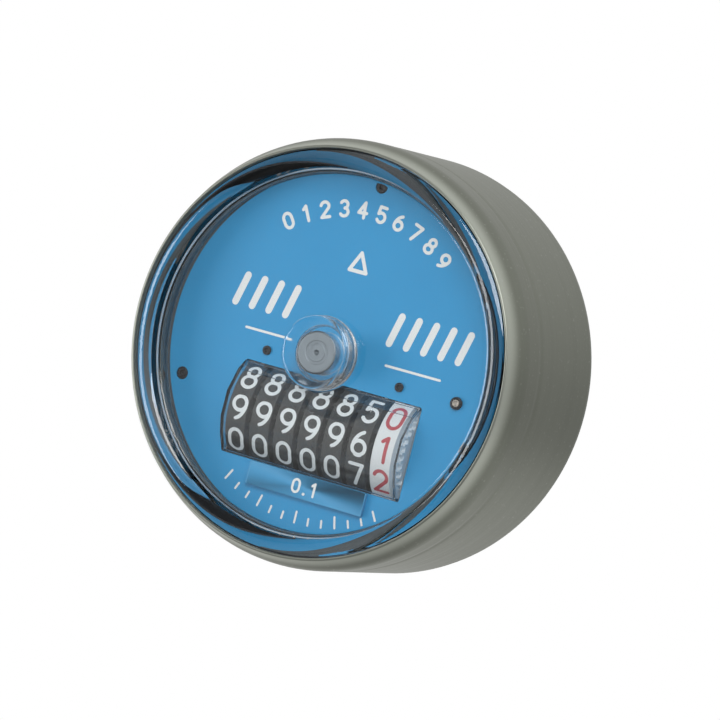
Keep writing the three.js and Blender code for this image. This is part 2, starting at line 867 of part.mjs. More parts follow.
function bush(front, back) {
  return ring(bushRadius, bushRadius - bushWall, front, back, shaftSides);
}

// The rear bush has a collar, which rests on the front of the back plate.
function rearBush() {
  const bore = bushRadius - bushWall;
  const collarBack = backPlateFront - seatGap;
  const collarFront = collarBack - bushFlangeThickness;
  const profile = [
    [bore, rearBushFront],
    [bushRadius, rearBushFront],
    [bushRadius, collarFront],
    [bushFlangeRadius, collarFront],
    [bushFlangeRadius, collarBack],
    [bushRadius, collarBack],
    [bushRadius, backPlateBack],
    [bore, backPlateBack],
  ];
  return turned([...profile, profile[0]], shaftSides);
}

function pendulumWeight() {
  const front = dialBack + weightFrontGap;
  const back = backPlateFront - seatGap;
  const chord = sidePlateBottom - runningGap;
  const start = Math.asin(chord / weightRadius);
  const arc = Array.from({ length: weightSides + 1 }, (_, i) => {
    const angle = start - ((Math.PI + 2 * start) * i) / weightSides;
    return new THREE.Vector2(...polar(weightRadius, angle));
  });
  const rim = facingPlate(shapeOf(arc), front, back);
  const slab = box(
    leftPlateInner + runningGap,
    trainLeft - runningGap - balanceCutback,
    counterAxis[0] + wheelRadius + weightWheelGap,
    back,
    chord - overrun,
    counterAxis[1] + wheelRadius - weightTopDrop,
  );
  const pinionRoom = pinAcross(transferTip + runningGap, -weightRadius, weightRadius, transferAxis,
    shaftSides);
  const screwHoles = weightScrewPlaces.map(([x, z]) => pin(screwShankRadius + pressGap,
    backPlateFront - screwReach - overrun, back + overrun, pinSides).translate(x, 0, z));
  return cut(joined(rim, slab), pinionRoom, ...screwHoles);
}

function footScrew([x, z]) {
  const head = footFront - seatGap - screwHeadThickness;
  return fastener(x, z, head, screwHeadThickness, screwHeadRadius, screwShankRadius, backPlateBack);
}

function weightScrew([x, z]) {
  const head = backPlateBack + seatGap + screwHeadThickness;
  return fastener(x, z, head, screwHeadThickness, screwHeadRadius, screwShankRadius,
    backPlateFront - screwReach);
}

const bridgeRivetHead = flangeBack + seatGap + rivetHeadThickness;
const frontBushFront = dialBack + seatGap;
const sideFrameAxles = [[counterAxis, counterShaftRadius], [transferAxis, transferShaftRadius],
  [crossAxis, crossShaftRadius + pressGap]];

const movement = new THREE.Group();
movement.add(
  named('dial_plate', dialPlate(), ...dialBlue),
  named('unit_plate', unitPlate(), ...paleBlue),
  named('counter_cover', counterCover(), ...clear),
  ...pillarPlaces.map((place, i) => named(`dial_pillar_${i + 1}`, pillar(place), ...darkSteel)),
  named('dial_screw_left', dialScrew(-dialScrewSpread), ...darkSteel),
  named('dial_screw_right', dialScrew(dialScrewSpread), ...darkSteel),
  named('dial_rivet', fastener(rightRivetX, dialScrewZ, dialFront - seatGap - rivetHeadThickness,
    rivetHeadThickness, rivetHeadRadius, rivetShankRadius, flangeBack), ...brightSteel),
  named('bridge_rivet', fastener(leftRivetX, 0, bridgeRivetHead, rivetHeadThickness,
    rivetHeadRadius, rivetShankRadius, bridgeFront), ...brightSteel),
  named('front_bridge', frontBridge(), ...brightSteel),
  named('left_side_plate', sideFrame(leftPlateInner, leftPlateOuter, leftFlangeEnd,
    [leftRivetX, 0], sideFrameAxles), ...brightSteel),
  named('right_side_plate', sideFrame(rightPlateInner, rightPlateOuter, rightFlangeEnd,
    [rightRivetX, dialScrewZ], [...sideFrameAxles, [compoundAxis, axleRadius], [idlerAxis, axleRadius]]),
  ...brightSteel),
  named('back_plate', backPlate(), ...brightSteel),
  named('front_bush', bush(frontBushFront, frontBushFront + bushLength), ...brass),
  named('rear_bush', rearBush(), ...brass),
  named('pendulum_weight', pendulumWeight(), ...zinc),
  ...footScrewPlaces.map((place, i) => named(`foot_screw_${i + 1}`, footScrew(place), ...brightSteel)),
  ...weightScrewPlaces.map((place, i) => named(`weight_screw_${i + 1}`, weightScrew(place), ...brightSteel)),
);

// Shafts and axles that the frame holds

movement.add(
  named('counter_shaft', pinAcross(counterShaftRadius, leftPlateOuter - seatGap,
    rightPlateOuter + seatGap, counterAxis, pinSides), ...brightSteel),
  named('transfer_shaft', pinAcross(transferShaftRadius, leftPlateOuter - seatGap,
    rightPlateOuter + seatGap, transferAxis, pinSides), ...brightSteel),
  named('compound_axle', pinAcross(axleRadius, wheelsRight, rightPlateOuter + seatGap,
    compoundAxis, pinSides), ...brightSteel),
  named('idler_axle', pinAcross(axleRadius, trainLeft - seatGap, rightPlateOuter + seatGap,
    idlerAxis, pinSides), ...brightSteel),
);

// Gear train

const wormWheelPhase = -Math.PI / 2;
const drivePinionPhase = 0;
const idlerPhase = meshingPhase(drivePinionTeeth, drivePinionPhase, crossAxis, idlerTeeth, idlerAxis);
const compoundPhase = meshingPhase(idlerTeeth, idlerPhase, idlerAxis, compoundTeeth, compoundAxis);
const compoundPinionPhase = meshingPhase(ringGearTeeth, 0, counterAxis, compoundPinionTeeth, compoundAxis);

function compoundGear() {
  const bore = axleRadius + pressGap;
  return joined(
    gear(compoundTeeth, trainModule, compoundPhase, compoundAxis, bore, trainLeft, trainRight),
    gear(compoundPinionTeeth, ringModule, compoundPinionPhase, compoundAxis, bore, wheelsRight,
      trainLeft + overrun),
  );
}

const train = new THREE.Group();
train.add(
  named('cross_shaft', pinAcross(crossShaftRadius, leftPlateOuter - seatGap,
    rightPlateOuter + seatGap, crossAxis, pinSides), ...brightSteel),
  named('worm_wheel', gear(wormWheelTeeth, wormModule, wormWheelPhase, crossAxis,
    crossShaftRadius + pressGap, -wormWheelWidth / 2, wormWheelWidth / 2), ...nylon),
  named('drive_pinion', gear(drivePinionTeeth, trainModule, drivePinionPhase, crossAxis,
    crossShaftRadius + pressGap, trainLeft, trainRight), ...brass),
  named('idler_gear', gear(idlerTeeth, trainModule, idlerPhase, idlerAxis, axleRadius + pressGap,
    trainLeft, trainRight), ...nylon),
  named('compound_gear', compoundGear(), ...nylon),
);

// Counter wheels and transfer pinions

const counter = new THREE.Group();

// A locking disc with a notch, in which two carry teeth stand. They come past the transfer pinion
// while the wheel goes from 9 to 0.
function carryCam(x, digit) {
  const lockRadius = carryCentre - transferTip - carryToothHeight - runningGap;
  const root = lockRadius - carryNotchDepth;
  const tip = lockRadius + carryToothHeight;
  const step = radians(360) / wheelGearTeeth;
  const middle = radians(transferAngle) + (radians(360) * (digitCount - digit - 1 / 2)) / digitCount;
  const at = (radius, angle) => {
    const [y, z] = polar(radius, middle + angle);
    return new THREE.Vector2(counterAxis[0] + y, counterAxis[1] + z);
  };
  const locking = Array.from({ length: wheelSides + 1 }, (_, i) => (
    at(lockRadius, step + ((radians(360) - step * 2) * i) / wheelSides)));
  const outline = [
    ...locking,
    at(root, -step),
    ...tooth(root, tip, middle - step / 2, step, counterAxis),
    ...tooth(root, tip, middle + step / 2, step, counterAxis),
    at(root, step),
  ];
  const bore = circle(counterShaftRadius + pressGap, pinSides, counterAxis);
  return sidePlate(shapeOf(outline, [bore]), x - rimWidth / 2 - carryCamWidth, x - rimWidth / 2 + overrun);
}

function rim(x) {
  const bore = circle(counterShaftRadius + pressGap, pinSides, counterAxis);
  const outline = circle(wheelRadius, wheelSides, counterAxis);
  return sidePlate(shapeOf(outline, [bore]), x - rimWidth / 2, x + rimWidth / 2);
}

function counterWheel(place, teeth, module, gearWidth) {
  const x = tenthsWheelX - wheelPitch * place;
  const drive = gear(teeth, module, 0, counterAxis, counterShaftRadius + pressGap,
    x + rimWidth / 2 - overrun, x + rimWidth / 2 + gearWidth);
  const isLast = place === wheelCount - 1;
  return joined(rim(x), drive, ...(isLast ? [] : [carryCam(x, shownDigits[place])]));
}

function transferPinion(place) {
  const x = tenthsWheelX - wheelPitch * place;
  const phase = meshingPhase(wheelGearTeeth, 0, counterAxis, transferPinionTeeth, transferAxis);
  const left = x + rimWidth / 2 + (wheelPitch - rimWidth - transferPinionWidth) / 2;
  const bore = circle(transferShaftRadius + pressGap, pinSides, transferAxis);
  const hub = sidePlate(shapeOf(circle(transferHubRadius, pinSides, transferAxis), [bore]),
    left - wheelPitch / 2 + runningGap, left + wheelPitch / 2);
  return joined(hub, gear(transferPinionTeeth, carryModule, phase, transferAxis,
    transferShaftRadius + pressGap, left, left + transferPinionWidth));
}

counter.add(named('tenths_wheel', counterWheel(0, ringGearTeeth, ringModule, ringGearWidth),
  ...whitePlastic));
for (let place = 1; place < wheelCount; place += 1) {
  counter.add(
    named(`number_wheel_${place}`, counterWheel(place, wheelGearTeeth, carryModule, wheelGearWidth),
      ...darkPlastic),
    named(`transfer_pinion_${place}`, transferPinion(place), ...nylon),
  );
}

const hubOdometer = new THREE.Group();
hubOdometer.add(wheelSide, movement, train, counter);

export default hubOdometer;
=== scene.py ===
# %% [markdown]
# # A hub odometer, dressed piece by piece
#
# A hub odometer bolts to the middle of a truck's wheel and counts its turns. The steel case, the
# clear lens and the shaft turn with the wheel, while a weight keeps the dial and its counter
# upright.
#
# The packed CAD model gives every place and size here. This lesson keeps its hidden gears and
# plates, gives them real finishes, and builds finer pieces for all that the eye can see.

# %% The packed frame
import math

import bmesh
import bpy
from mathutils import Matrix, Vector


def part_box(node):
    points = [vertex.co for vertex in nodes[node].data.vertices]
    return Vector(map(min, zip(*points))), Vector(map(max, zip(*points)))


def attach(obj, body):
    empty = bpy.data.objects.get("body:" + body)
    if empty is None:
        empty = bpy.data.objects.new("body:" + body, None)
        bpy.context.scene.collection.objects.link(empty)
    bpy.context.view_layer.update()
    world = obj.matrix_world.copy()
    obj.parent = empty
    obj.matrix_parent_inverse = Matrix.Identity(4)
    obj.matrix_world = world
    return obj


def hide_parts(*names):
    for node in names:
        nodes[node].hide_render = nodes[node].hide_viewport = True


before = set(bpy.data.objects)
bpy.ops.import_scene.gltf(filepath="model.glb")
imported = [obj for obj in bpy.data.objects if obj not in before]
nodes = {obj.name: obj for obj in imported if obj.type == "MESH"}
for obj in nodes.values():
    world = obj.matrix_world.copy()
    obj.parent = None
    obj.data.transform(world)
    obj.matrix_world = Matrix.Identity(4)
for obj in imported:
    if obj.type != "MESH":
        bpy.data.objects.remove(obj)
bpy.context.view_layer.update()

# %% [markdown]
# ## Millimetres
#
# Blender works in metres and the real object was drawn in millimetres. All sizes below are in
# millimetres, and only the step that makes a Blender mesh turns them into metres.

# %% Millimetres and the frame's boxes
MM = 0.001


def box_of(node):
    low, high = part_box(node)
    return low / MM, high / MM


case_low, case_high = box_of("case_shell")
lip_y = case_low.y
print("case radius", round(case_high.x, 2), "mm, lip at", round(lip_y, 2), "mm")

# %% [markdown]
# ## The camera
#
# The photograph was taken with a long lens from the right of the dial and a little above it, and
# the object leans clockwise. A camera could be placed by eye. Fitting the rim's ellipse gave the
# angles and the distance instead, so the perspective is right and not just the outline.

# %% The camera
IMAGE_SIZE = 720
CAMERA_AZIMUTH = math.radians(25.68)
CAMERA_ELEVATION = math.radians(3.0)
CAMERA_ROLL = math.radians(14.2)
CAMERA_DISTANCE = 728.3
FOCAL_PIXELS = 4082
SENSOR_WIDTH = 36
RIM_PIXEL = (315.2, 352.3)


def aim_camera():
    flat = math.cos(CAMERA_ELEVATION)
    back = Vector((
        math.sin(CAMERA_AZIMUTH) * flat,
        -math.cos(CAMERA_AZIMUTH) * flat,
        math.sin(CAMERA_ELEVATION),
    ))
    level = (-back).cross(Vector((0, 0, 1))).normalized()
    above = level.cross(-back)
    right = level * math.cos(CAMERA_ROLL) + above * math.sin(CAMERA_ROLL)
    up = above * math.cos(CAMERA_ROLL) - level * math.sin(CAMERA_ROLL)
    rim = Vector((0, lip_y, 0))
    place = rim + back * CAMERA_DISTANCE
    pixel = CAMERA_DISTANCE / FOCAL_PIXELS
    centre = IMAGE_SIZE / 2
    target = rim + right * pixel * (centre - RIM_PIXEL[0]) + up * pixel * (RIM_PIXEL[1] - centre)
    look_back = (place - target).normalized()
    right = up.cross(look_back).normalized()
    up = look_back.cross(right)
    turn = Matrix((right, up, look_back)).transposed().to_4x4()
    return Matrix.Translation(place * MM) @ turn


camera = bpy.data.objects.new("camera", bpy.data.cameras.new("camera"))
bpy.context.scene.collection.objects.link(camera)
camera.data.sensor_width = SENSOR_WIDTH
camera.data.lens = FOCAL_PIXELS * SENSOR_WIDTH / IMAGE_SIZE
camera.data.clip_start = 0.01
camera.matrix_world = aim_camera()
bpy.context.scene.camera = camera
bpy.context.scene.view_settings.view_transform = "Standard"
print("lens", round(camera.data.lens, 1), "mm at", [round(v, 3) for v in camera.location])

# %% [markdown]
# ## Shader maths as Python
#
# A finish is a graph of nodes. The graph could be drawn by hand in the editor. Here a small class
# wraps each socket, so a mask is written `1 - grain * 0.4` and each operator adds its Math node.

# %% Sockets with operators, and trees of nodes
class Wire:
    """The output of a node, for use in expressions."""

    def __init__(self, tree, socket):
        self.tree = tree
        self.socket = socket

    def maths(self, operation, *values):
        return self.tree.node("ShaderNodeMath", {"operation": operation}, dict(enumerate(values)))

    def __add__(self, other):
        return self.maths("ADD", self, other)

    def __sub__(self, other):
        return self.maths("SUBTRACT", self, other)

    def __rsub__(self, other):
        return self.maths("SUBTRACT", other, self)

    def __mul__(self, other):
        return self.maths("MULTIPLY", self, other)

    __radd__ = __add__
    __rmul__ = __mul__


class Tree:
    """A node tree, with one method that adds any node."""

    def __init__(self, tree):
        self.tree = tree

    def node(self, kind, settings=None, sockets=None, output=0):
        made = self.tree.nodes.new(kind)
        for name, value in (settings or {}).items():
            if name == "stops":
                self.set_stops(made.color_ramp, value)
            else:
                setattr(made, name, value)
        for name, value in (sockets or {}).items():
            self.join(value, made.inputs[name])
        return Wire(self, made.outputs[output])

    def set_stops(self, ramp, stops):
        while len(ramp.elements) < len(stops):
            ramp.elements.new(0.5)
        for element, (position, colour) in zip(ramp.elements, stops):
            element.position = position
            element.color = (*colour, 1)

    def join(self, value, socket):
        if isinstance(value, Wire):
            self.tree.links.new(value.socket, socket)
        else:
            socket.default_value = value

    def mixed(self, factor, first, second):
        colours = {6: self.opaque(first), 7: self.opaque(second)}
        return self.node("ShaderNodeMix", {"data_type": "RGBA"}, {0: factor, **colours}, output=2)

    def opaque(self, colour):
        return colour if isinstance(colour, Wire) else (*colour, 1)

    def scaled(self, vector, scale):
        settings = {"operation": "MULTIPLY"}
        return self.node("ShaderNodeVectorMath", settings, {0: vector, 1: scale})

    def rays(self, *kinds):
        """1 for rays of the kinds named, and 0 for the rest."""
        found = 0.0
        for kind in kinds:
            either = {0: found, 1: self.node("ShaderNodeLightPath", output=f"Is {kind} Ray")}
            found = self.node("ShaderNodeMath", {"operation": "MAXIMUM"}, either)
        return found


print("operators ready:", [name for name in vars(Wire) if name.startswith("__r")])

# %% [markdown]
# ## A finish and its grain
#
# Real surfaces vary: drawn steel has fine rings, cast metal has grain, moulded plastic has a
# faint orange peel. Images could hold that. Noise in the object's own coordinates needs no images
# and keeps its scale on every piece. Rings come from noise that is stretched round an axis.

# %% The class for a finish
class Finish(Tree):
    """A material whose colour, roughness and bump may vary."""

    def __init__(self, name, **constants):
        self.material = bpy.data.materials.new(name)
        self.material.use_nodes = True
        super().__init__(self.material.node_tree)
        self.shader = self.tree.nodes["Principled BSDF"]
        self.output = self.tree.nodes["Material Output"]
        for socket, value in constants.items():
            self.set(socket.replace("_", " ").title().replace("Ior", "IOR"), value)

    def set(self, socket, value):
        self.join(value, self.shader.inputs[socket])

    def here(self):
        return self.node("ShaderNodeTexCoord", output="Object")

    def grain(self, per_mm, stretch=(1, 1, 1), detail=3):
        place = self.scaled(self.here(), tuple(per_mm / MM * share for share in stretch))
        return self.noise(place, detail)

    def noise(self, place, detail=3):
        sockets = {"Vector": place, "Scale": 1, "Detail": detail, "Roughness": 0.55}
        return self.node("ShaderNodeTexNoise", {}, sockets)

    def rings(self, per_mm, drift, axis="Y"):
        """Noise that changes fast along and out from an axis and slowly round it."""
        flat, radius, along = self.around(axis)
        direction = self.node("ShaderNodeVectorMath", {"operation": "NORMALIZE"}, {0: flat})
        x, y, z = self.parts(self.scaled(direction, (drift,) * 3))
        fast = (radius + along) * (per_mm / MM)
        place = self.node("ShaderNodeCombineXYZ", {}, {0: x + y, 1: z, 2: fast})
        return self.noise(place)

    def around(self, axis):
        """The way out from an axis, its length, and the place along the axis."""
        keep = [0 if name == axis else 1 for name in "XYZ"]
        flat = self.scaled(self.here(), keep)
        radius = self.node("ShaderNodeVectorMath", {"operation": "LENGTH"}, {0: flat}, "Value")
        along = self.parts(self.here())["XYZ".index(axis)]
        return flat, radius, along

    def fade(self, value, start_mm, end_mm, curve="LINEAR"):
        """0 where a length is start_mm, and 1 where it is end_mm."""
        edges = {"From Min": start_mm * MM, "From Max": end_mm * MM}
        settings = {"interpolation_type": curve}
        return self.node("ShaderNodeMapRange", settings, {"Value": value, **edges})

    def parts(self, vector):
        return [
            self.node("ShaderNodeSeparateXYZ", {}, {0: vector}, output) for output in range(3)
        ]

    def bump(self, height, depth_mm, strength=1.0):
        sockets = {"Height": height, "Distance": depth_mm * MM, "Strength": strength}
        self.set("Normal", self.node("ShaderNodeBump", {}, sockets))


print("finish class ready:", [name for name in vars(Finish) if not name.startswith("__")])

# %% [markdown]
# ## Steel, brass and bronze
#
# The case is drawn steel with a dull grey-green plating. Drawing left fine rings round it, and its
# lip is painted lighter: a painted highlight for the light its rolled curve catches. The small
# shafts are turned and brighter. One function makes them from two colours, a roughness and the
# axis that the rings run round, so that they stay a family.

# %% Turned and plated metal
TURNED_STEEL = (0.46, 0.46, 0.45), (0.64, 0.64, 0.63)
TURNED_BRASS = (0.45, 0.29, 0.1), (0.62, 0.43, 0.17)


def turned_metal(name, dark, light, roughness, axis="Y", rings_per_mm=3.0):
    finish = Finish(name, metallic=1.0)
    rings = finish.rings(rings_per_mm, 0.35, axis)
    cloud = finish.grain(0.12)
    finish.set("Base Color", finish.mixed(rings * 0.5 + cloud * 0.5, dark, light))
    finish.set("Roughness", roughness + (cloud - 0.5) * 0.14 + (rings - 0.5) * 0.12)
    finish.bump(rings, 0.004)
    return finish.material


bright_steel = turned_metal("turned_steel", *TURNED_STEEL, 0.26)
cross_steel = turned_metal("cross_turned_steel", *TURNED_STEEL, 0.3, "X")
dull_steel = turned_metal("shaft_steel", (0.16, 0.185, 0.205), (0.28, 0.31, 0.335), 0.45, "Y", 5)
zinc_plate = turned_metal("zinc_plated_steel", (0.4, 0.41, 0.4), (0.58, 0.58, 0.55), 0.34)
brass = turned_metal("worm_brass", *TURNED_BRASS, 0.3)
cross_brass = turned_metal("pinion_brass", *TURNED_BRASS, 0.3, "X")
bronze = turned_metal("bush_bronze", (0.3, 0.16, 0.07), (0.44, 0.26, 0.12), 0.4)
print("turned finishes:", [m.name for m in (bright_steel, dull_steel, zinc_plate, brass, bronze)])

# %% The case's plating
PAINTED_LIP_HIGHLIGHT_START = 3.4
PAINTED_LIP_HIGHLIGHT_FULL = 0.6
SPECK_STOPS = [(0.66, (0, 0, 0)), (0.78, (1, 1, 1))]


def plated_case():
    finish = Finish("case_steel", metallic=0.85, specular_tint=(0.8, 0.8, 0.78, 1))
    rings = finish.rings(1.6, 0.5)
    bands = finish.rings(0.22, 0.25)
    cloud = finish.grain(0.05)
    tone = rings * 0.25 + bands * 0.45 + cloud * 0.3
    plating = finish.mixed(tone, (0.1, 0.107, 0.087), (0.2, 0.211, 0.178))
    # The lip is painted lighter towards its edge: a painted highlight for the light its rolled
    # curve catches.
    along = finish.around("Y")[2]
    lip = finish.fade(along, lip_y + PAINTED_LIP_HIGHLIGHT_START, lip_y + PAINTED_LIP_HIGHLIGHT_FULL, "SMOOTHSTEP")
    plating = finish.mixed(lip * 0.8, plating, (0.4, 0.42, 0.37))
    specks = {0: finish.grain(1.6, detail=1)}
    marks = finish.node("ShaderNodeValToRGB", {"stops": SPECK_STOPS}, specks)
    finish.set("Base Color", finish.mixed(marks * 0.25, plating, (0.42, 0.43, 0.4)))
    finish.set("Roughness", 0.4 + (rings - 0.5) * 0.16 + (cloud - 0.5) * 0.1)
    finish.bump(rings * 0.7 + bands * 0.3, 0.006)
    return finish.material


case_steel = plated_case()
print("the case's finish:", case_steel.name, "with", len(case_steel.node_tree.nodes), "nodes")

# %% [markdown]
# ## Sheet metal, castings and screws
#
# The frame is stamped from sheet, so its lines run one way. The weight is a zinc casting with an
# open grain. The small screws and pillar ends are blackened. All differ only in how their noise
# is stretched, and how deep it is.

# %% Sheet, cast and blackened metal
def grained_metal(name, dark, light, roughness, per_mm, stretch, depth, metallic=1.0):
    finish = Finish(name, metallic=metallic)
    grain = finish.grain(per_mm, stretch)
    cloud = finish.grain(0.1)
    finish.set("Base Color", finish.mixed(grain * 0.6 + cloud * 0.4, dark, light))
    finish.set("Roughness", roughness + (grain - 0.5) * 0.2)
    finish.bump(grain, depth)
    return finish.material


sheet_steel = grained_metal(
    "frame_steel", (0.3, 0.31, 0.3), (0.46, 0.46, 0.44), 0.38, 4, (1, 1, 0.05), 0.004
)
screw_steel = grained_metal(
    "screw_steel", (0.42, 0.42, 0.4), (0.6, 0.6, 0.57), 0.33, 3, (1, 1, 1), 0.004
)
casting = grained_metal(
    "weight_casting", (0.13, 0.135, 0.14), (0.24, 0.245, 0.25), 0.6, 1.4, (1, 1, 1), 0.03, 0.8
)
black_steel = grained_metal(
    "dark_steel", (0.012, 0.013, 0.016), (0.035, 0.036, 0.04), 0.42, 3, (1, 1, 1), 0.006, 0.6
)
aluminium = grained_metal(
    "rivet_aluminium", (0.3, 0.26, 0.22), (0.46, 0.41, 0.36), 0.45, 3, (1, 1, 1), 0.006
)
print("grained finishes:", [m.name for m in (sheet_steel, casting, black_steel, aluminium)])

# %% [markdown]
# ## Paint, plastic and rubber
#
# The dial is painted metal. The wheels are moulded plastic, and the gears are nylon. None is
# metal, so what the eye reads is a faint unevenness of colour and an orange peel in the gloss.

# %% Paint, moulded plastic and rubber
def moulded(name, dark, light, roughness, per_mm=0.9, depth=0.004):
    finish = Finish(name)
    peel = finish.grain(per_mm, detail=2)
    cloud = finish.grain(0.08)
    finish.set("Base Color", finish.mixed(cloud * 0.7 + peel * 0.3, dark, light))
    finish.set("Roughness", roughness + (peel - 0.5) * 0.16)
    finish.bump(peel, depth)
    return finish.material


dial_paint = moulded("dial_blue", (0.01, 0.25, 0.52), (0.016, 0.3, 0.6), 0.5, depth=0.0008)
plate_paint = moulded("unit_plate_blue", (0.05, 0.28, 0.52), (0.07, 0.33, 0.59), 0.45,
                      depth=0.0008)
print_white = moulded("print_white", (0.74, 0.74, 0.73), (0.84, 0.84, 0.83), 0.5, 2.5, 0.002)
# A dark paint used only as painted shade round the dial's edge.
painted_shade_dark = moulded("painted_shade_dark", (0.035, 0.045, 0.05), (0.05, 0.06, 0.068), 0.5, 2.5, 0.002)
numeral_white = moulded("numeral_white", (0.74, 0.75, 0.75), (0.86, 0.87, 0.87), 0.5, 2.5, 0.002)
numeral_red = moulded("numeral_red", (0.42, 0.035, 0.05), (0.5, 0.05, 0.065), 0.5, 2.5, 0.002)
black_plastic = moulded("wheel_black", (0.016, 0.015, 0.014), (0.026, 0.024, 0.023), 0.5)
white_plastic = moulded("wheel_white", (0.72, 0.72, 0.72), (0.82, 0.82, 0.82), 0.45)
nylon = moulded("gear_nylon", (0.66, 0.61, 0.48), (0.78, 0.74, 0.62), 0.5)
rubber = moulded("gasket_rubber", (0.012, 0.013, 0.015), (0.028, 0.029, 0.032), 0.7, 2.0, 0.01)
print("painted and moulded:", [m.name for m in (dial_paint, white_plastic, nylon, rubber)])

# %% [markdown]
# ## Clear plastic
#
# The lens and the counter's cover are clear polycarbonate. A see-through mix would be quick, but
# it bends no light, and the dark and bright bands in a real lens are bent light. So the eye's
# rays get true glass. The lamps' rays go straight through, or the dial would lie in the lens's
# shadow. The lens's boss also keeps the rings of the mould's turned tool, and its bore is a
# little frosted.

# %% Clear polycarbonate
POLYCARBONATE_IOR = 1.585
PRESS_GAP = 0.1
SHAFT_HEAD_RADIUS = 3.8
FROST_START = 1.0
FROST_FULL = 1.3

lens_low, lens_high = box_of("lens")
boss_top = lens_low.y
socket_radius = SHAFT_HEAD_RADIUS + PRESS_GAP


def clear_plastic(name, tint, marked_radius=0.0):
    """marked_radius is how far out from the axis the mould's tool has left its rings."""
    finish = Finish(name, transmission_weight=1.0, ior=POLYCARBONATE_IOR, roughness=0.0)
    finish.set("Base Color", (*tint, 1))
    height = finish.grain(0.5, detail=2)
    if marked_radius:
        _, radius, along = finish.around("Y")
        marked = finish.fade(radius, marked_radius, marked_radius - 0.4)
        height = height + marked * finish.rings(2.2, 0.3) * 4
        bore = finish.fade(radius, socket_radius - 0.2, socket_radius - 0.05)
        deep = finish.fade(along, boss_top + FROST_START, boss_top + FROST_FULL)
        finish.set("Roughness", marked * 0.08 + marked * bore * deep * 0.14)
    finish.bump(height, 0.0006)
    through = finish.node("ShaderNodeBsdfTransparent", {}, {0: (*tint, 1)})
    glass = Wire(finish, finish.shader.outputs[0])
    sockets = {0: finish.rays("Shadow", "Diffuse"), 1: glass, 2: through}
    mix = finish.node("ShaderNodeMixShader", {}, sockets)
    finish.join(mix, finish.output.inputs["Surface"])
    return finish.material


lens_clear = clear_plastic("lens_clear", (0.97, 0.985, 0.99), marked_radius=6.6)
cover_clear = clear_plastic("cover_clear", (0.97, 0.98, 0.985))
print("clear finishes:", lens_clear.name, cover_clear.name)

# %% [markdown]
# ## From points to a piece
#
# Most of the pieces are turned on a lathe or stamped from a plate, so two helpers make nearly all
# of them: one turns a profile round an axis, and the other fills an outline with holes and gives
# it depth. Every corner of a real piece is a little round and catches light, so the profiles are
# rounded before they are turned.

# %% Rounding the corners of a profile
CORNER_STEPS = 4
HOLD = 0.03


def rounded(corners):
    """Each corner is (across, along) or (across, along, cut), and a cut corner becomes a curve.

    A point a hair before and after each curve keeps the flat faces beside it flat to the light.
    """
    points = []
    for i, (across, along, *cut) in enumerate(corners):
        corner = Vector((across, along))
        if not cut:
            points.append(corner)
            continue
        back = (Vector(corners[i - 1][:2]) - corner).normalized()
        ahead = (Vector(corners[(i + 1) % len(corners)][:2]) - corner).normalized()
        start, end = corner + back * cut[0], corner + ahead * cut[0]
        points.append(start + back * HOLD)
        for step in range(CORNER_STEPS + 1):
            share = step / CORNER_STEPS
            points.append(start.lerp(corner, share).lerp(corner.lerp(end, share), share))
        points.append(end + ahead * HOLD)
    return points


print("a rounded corner has", len(rounded([(0, 0), (1, 0, 0.2), (1, 1)])) - 2, "points")

# %% Turning and stamping
SIDES = 160


def round_axis(radius, along, angle, axis="Y", centre=(0, 0)):
    """A point at a radius and angle round the Y axis or the X axis."""
    first, second = radius * math.cos(angle), radius * math.sin(angle)
    if axis == "Y":
        return Vector((centre[0] + first, along, centre[1] + second))
    return Vector((along, centre[0] + first, centre[1] + second))


def turned(corners, axis="Y", centre=(0, 0), closed=True, sides=SIDES):
    """A closed profile of (radius, along) makes a ring, and an open one ends on the axis."""
    profile = rounded(corners)
    mesh = bmesh.new()
    rings = []
    for side in range(sides):
        angle = 2 * math.pi * side / sides
        rings.append([mesh.verts.new(round_axis(r, y, angle, axis, centre)) for r, y in profile])
    count = len(profile)
    for side in range(sides):
        here, there = rings[side], rings[(side + 1) % sides]
        for i in range(count if closed else count - 1):
            j = (i + 1) % count
            mesh.faces.new((here[i], here[j], there[j], there[i]))
    return mesh


def stamped(outline, holes, front, back):
    """A plate across the hub's axis, with its outline and holes given in X and Z."""
    mesh = bmesh.new()
    for loop in [outline, *holes]:
        corners = [mesh.verts.new((x, back, z)) for x, z in loop]
        for i, corner in enumerate(corners):
            mesh.edges.new((corners[i - 1], corner))
    bmesh.ops.triangle_fill(mesh, use_beauty=True, edges=mesh.edges[:])
    flat = bmesh.ops.extrude_face_region(mesh, geom=mesh.faces[:])
    moved = [part for part in flat["geom"] if isinstance(part, bmesh.types.BMVert)]
    bmesh.ops.translate(mesh, verts=moved, vec=(0, front - back, 0))
    return mesh


def circle(radius, centre=(0, 0), sides=SIDES):
    angles = [2 * math.pi * i / sides for i in range(sides)]
    return [(centre[0] + radius * math.cos(a), centre[1] + radius * math.sin(a)) for a in angles]


print("sides of a turned piece:", SIDES)

# %% [markdown]
# ## A mesh becomes a piece
#
# Each mesh is drawn in millimetres and becomes an object in metres. Smooth shading with sharp
# edges at its corners keeps turned faces round and flat faces flat. Each piece is told which body
# carries it, which finish it gets, and which plain CAD nodes it replaces.

# %% A piece that rides on a body
SHARP = math.radians(28)


def piece(name, mesh, body, finish, instead_of=()):
    bmesh.ops.remove_doubles(mesh, verts=mesh.verts, dist=1e-5)
    bmesh.ops.recalc_face_normals(mesh, faces=mesh.faces)
    bmesh.ops.scale(mesh, vec=(MM,) * 3, verts=mesh.verts)
    data = bpy.data.meshes.new(name)
    mesh.to_mesh(data)
    mesh.free()
    data.shade_smooth()
    data.set_sharp_from_angle(angle=SHARP)
    data.materials.append(finish)
    made = bpy.data.objects.new(name, data)
    bpy.context.scene.collection.objects.link(made)
    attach(made, body)
    if instead_of:
        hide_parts(*instead_of)
    print(name, "rides on", body, "with", len(data.polygons), "faces")
    return made


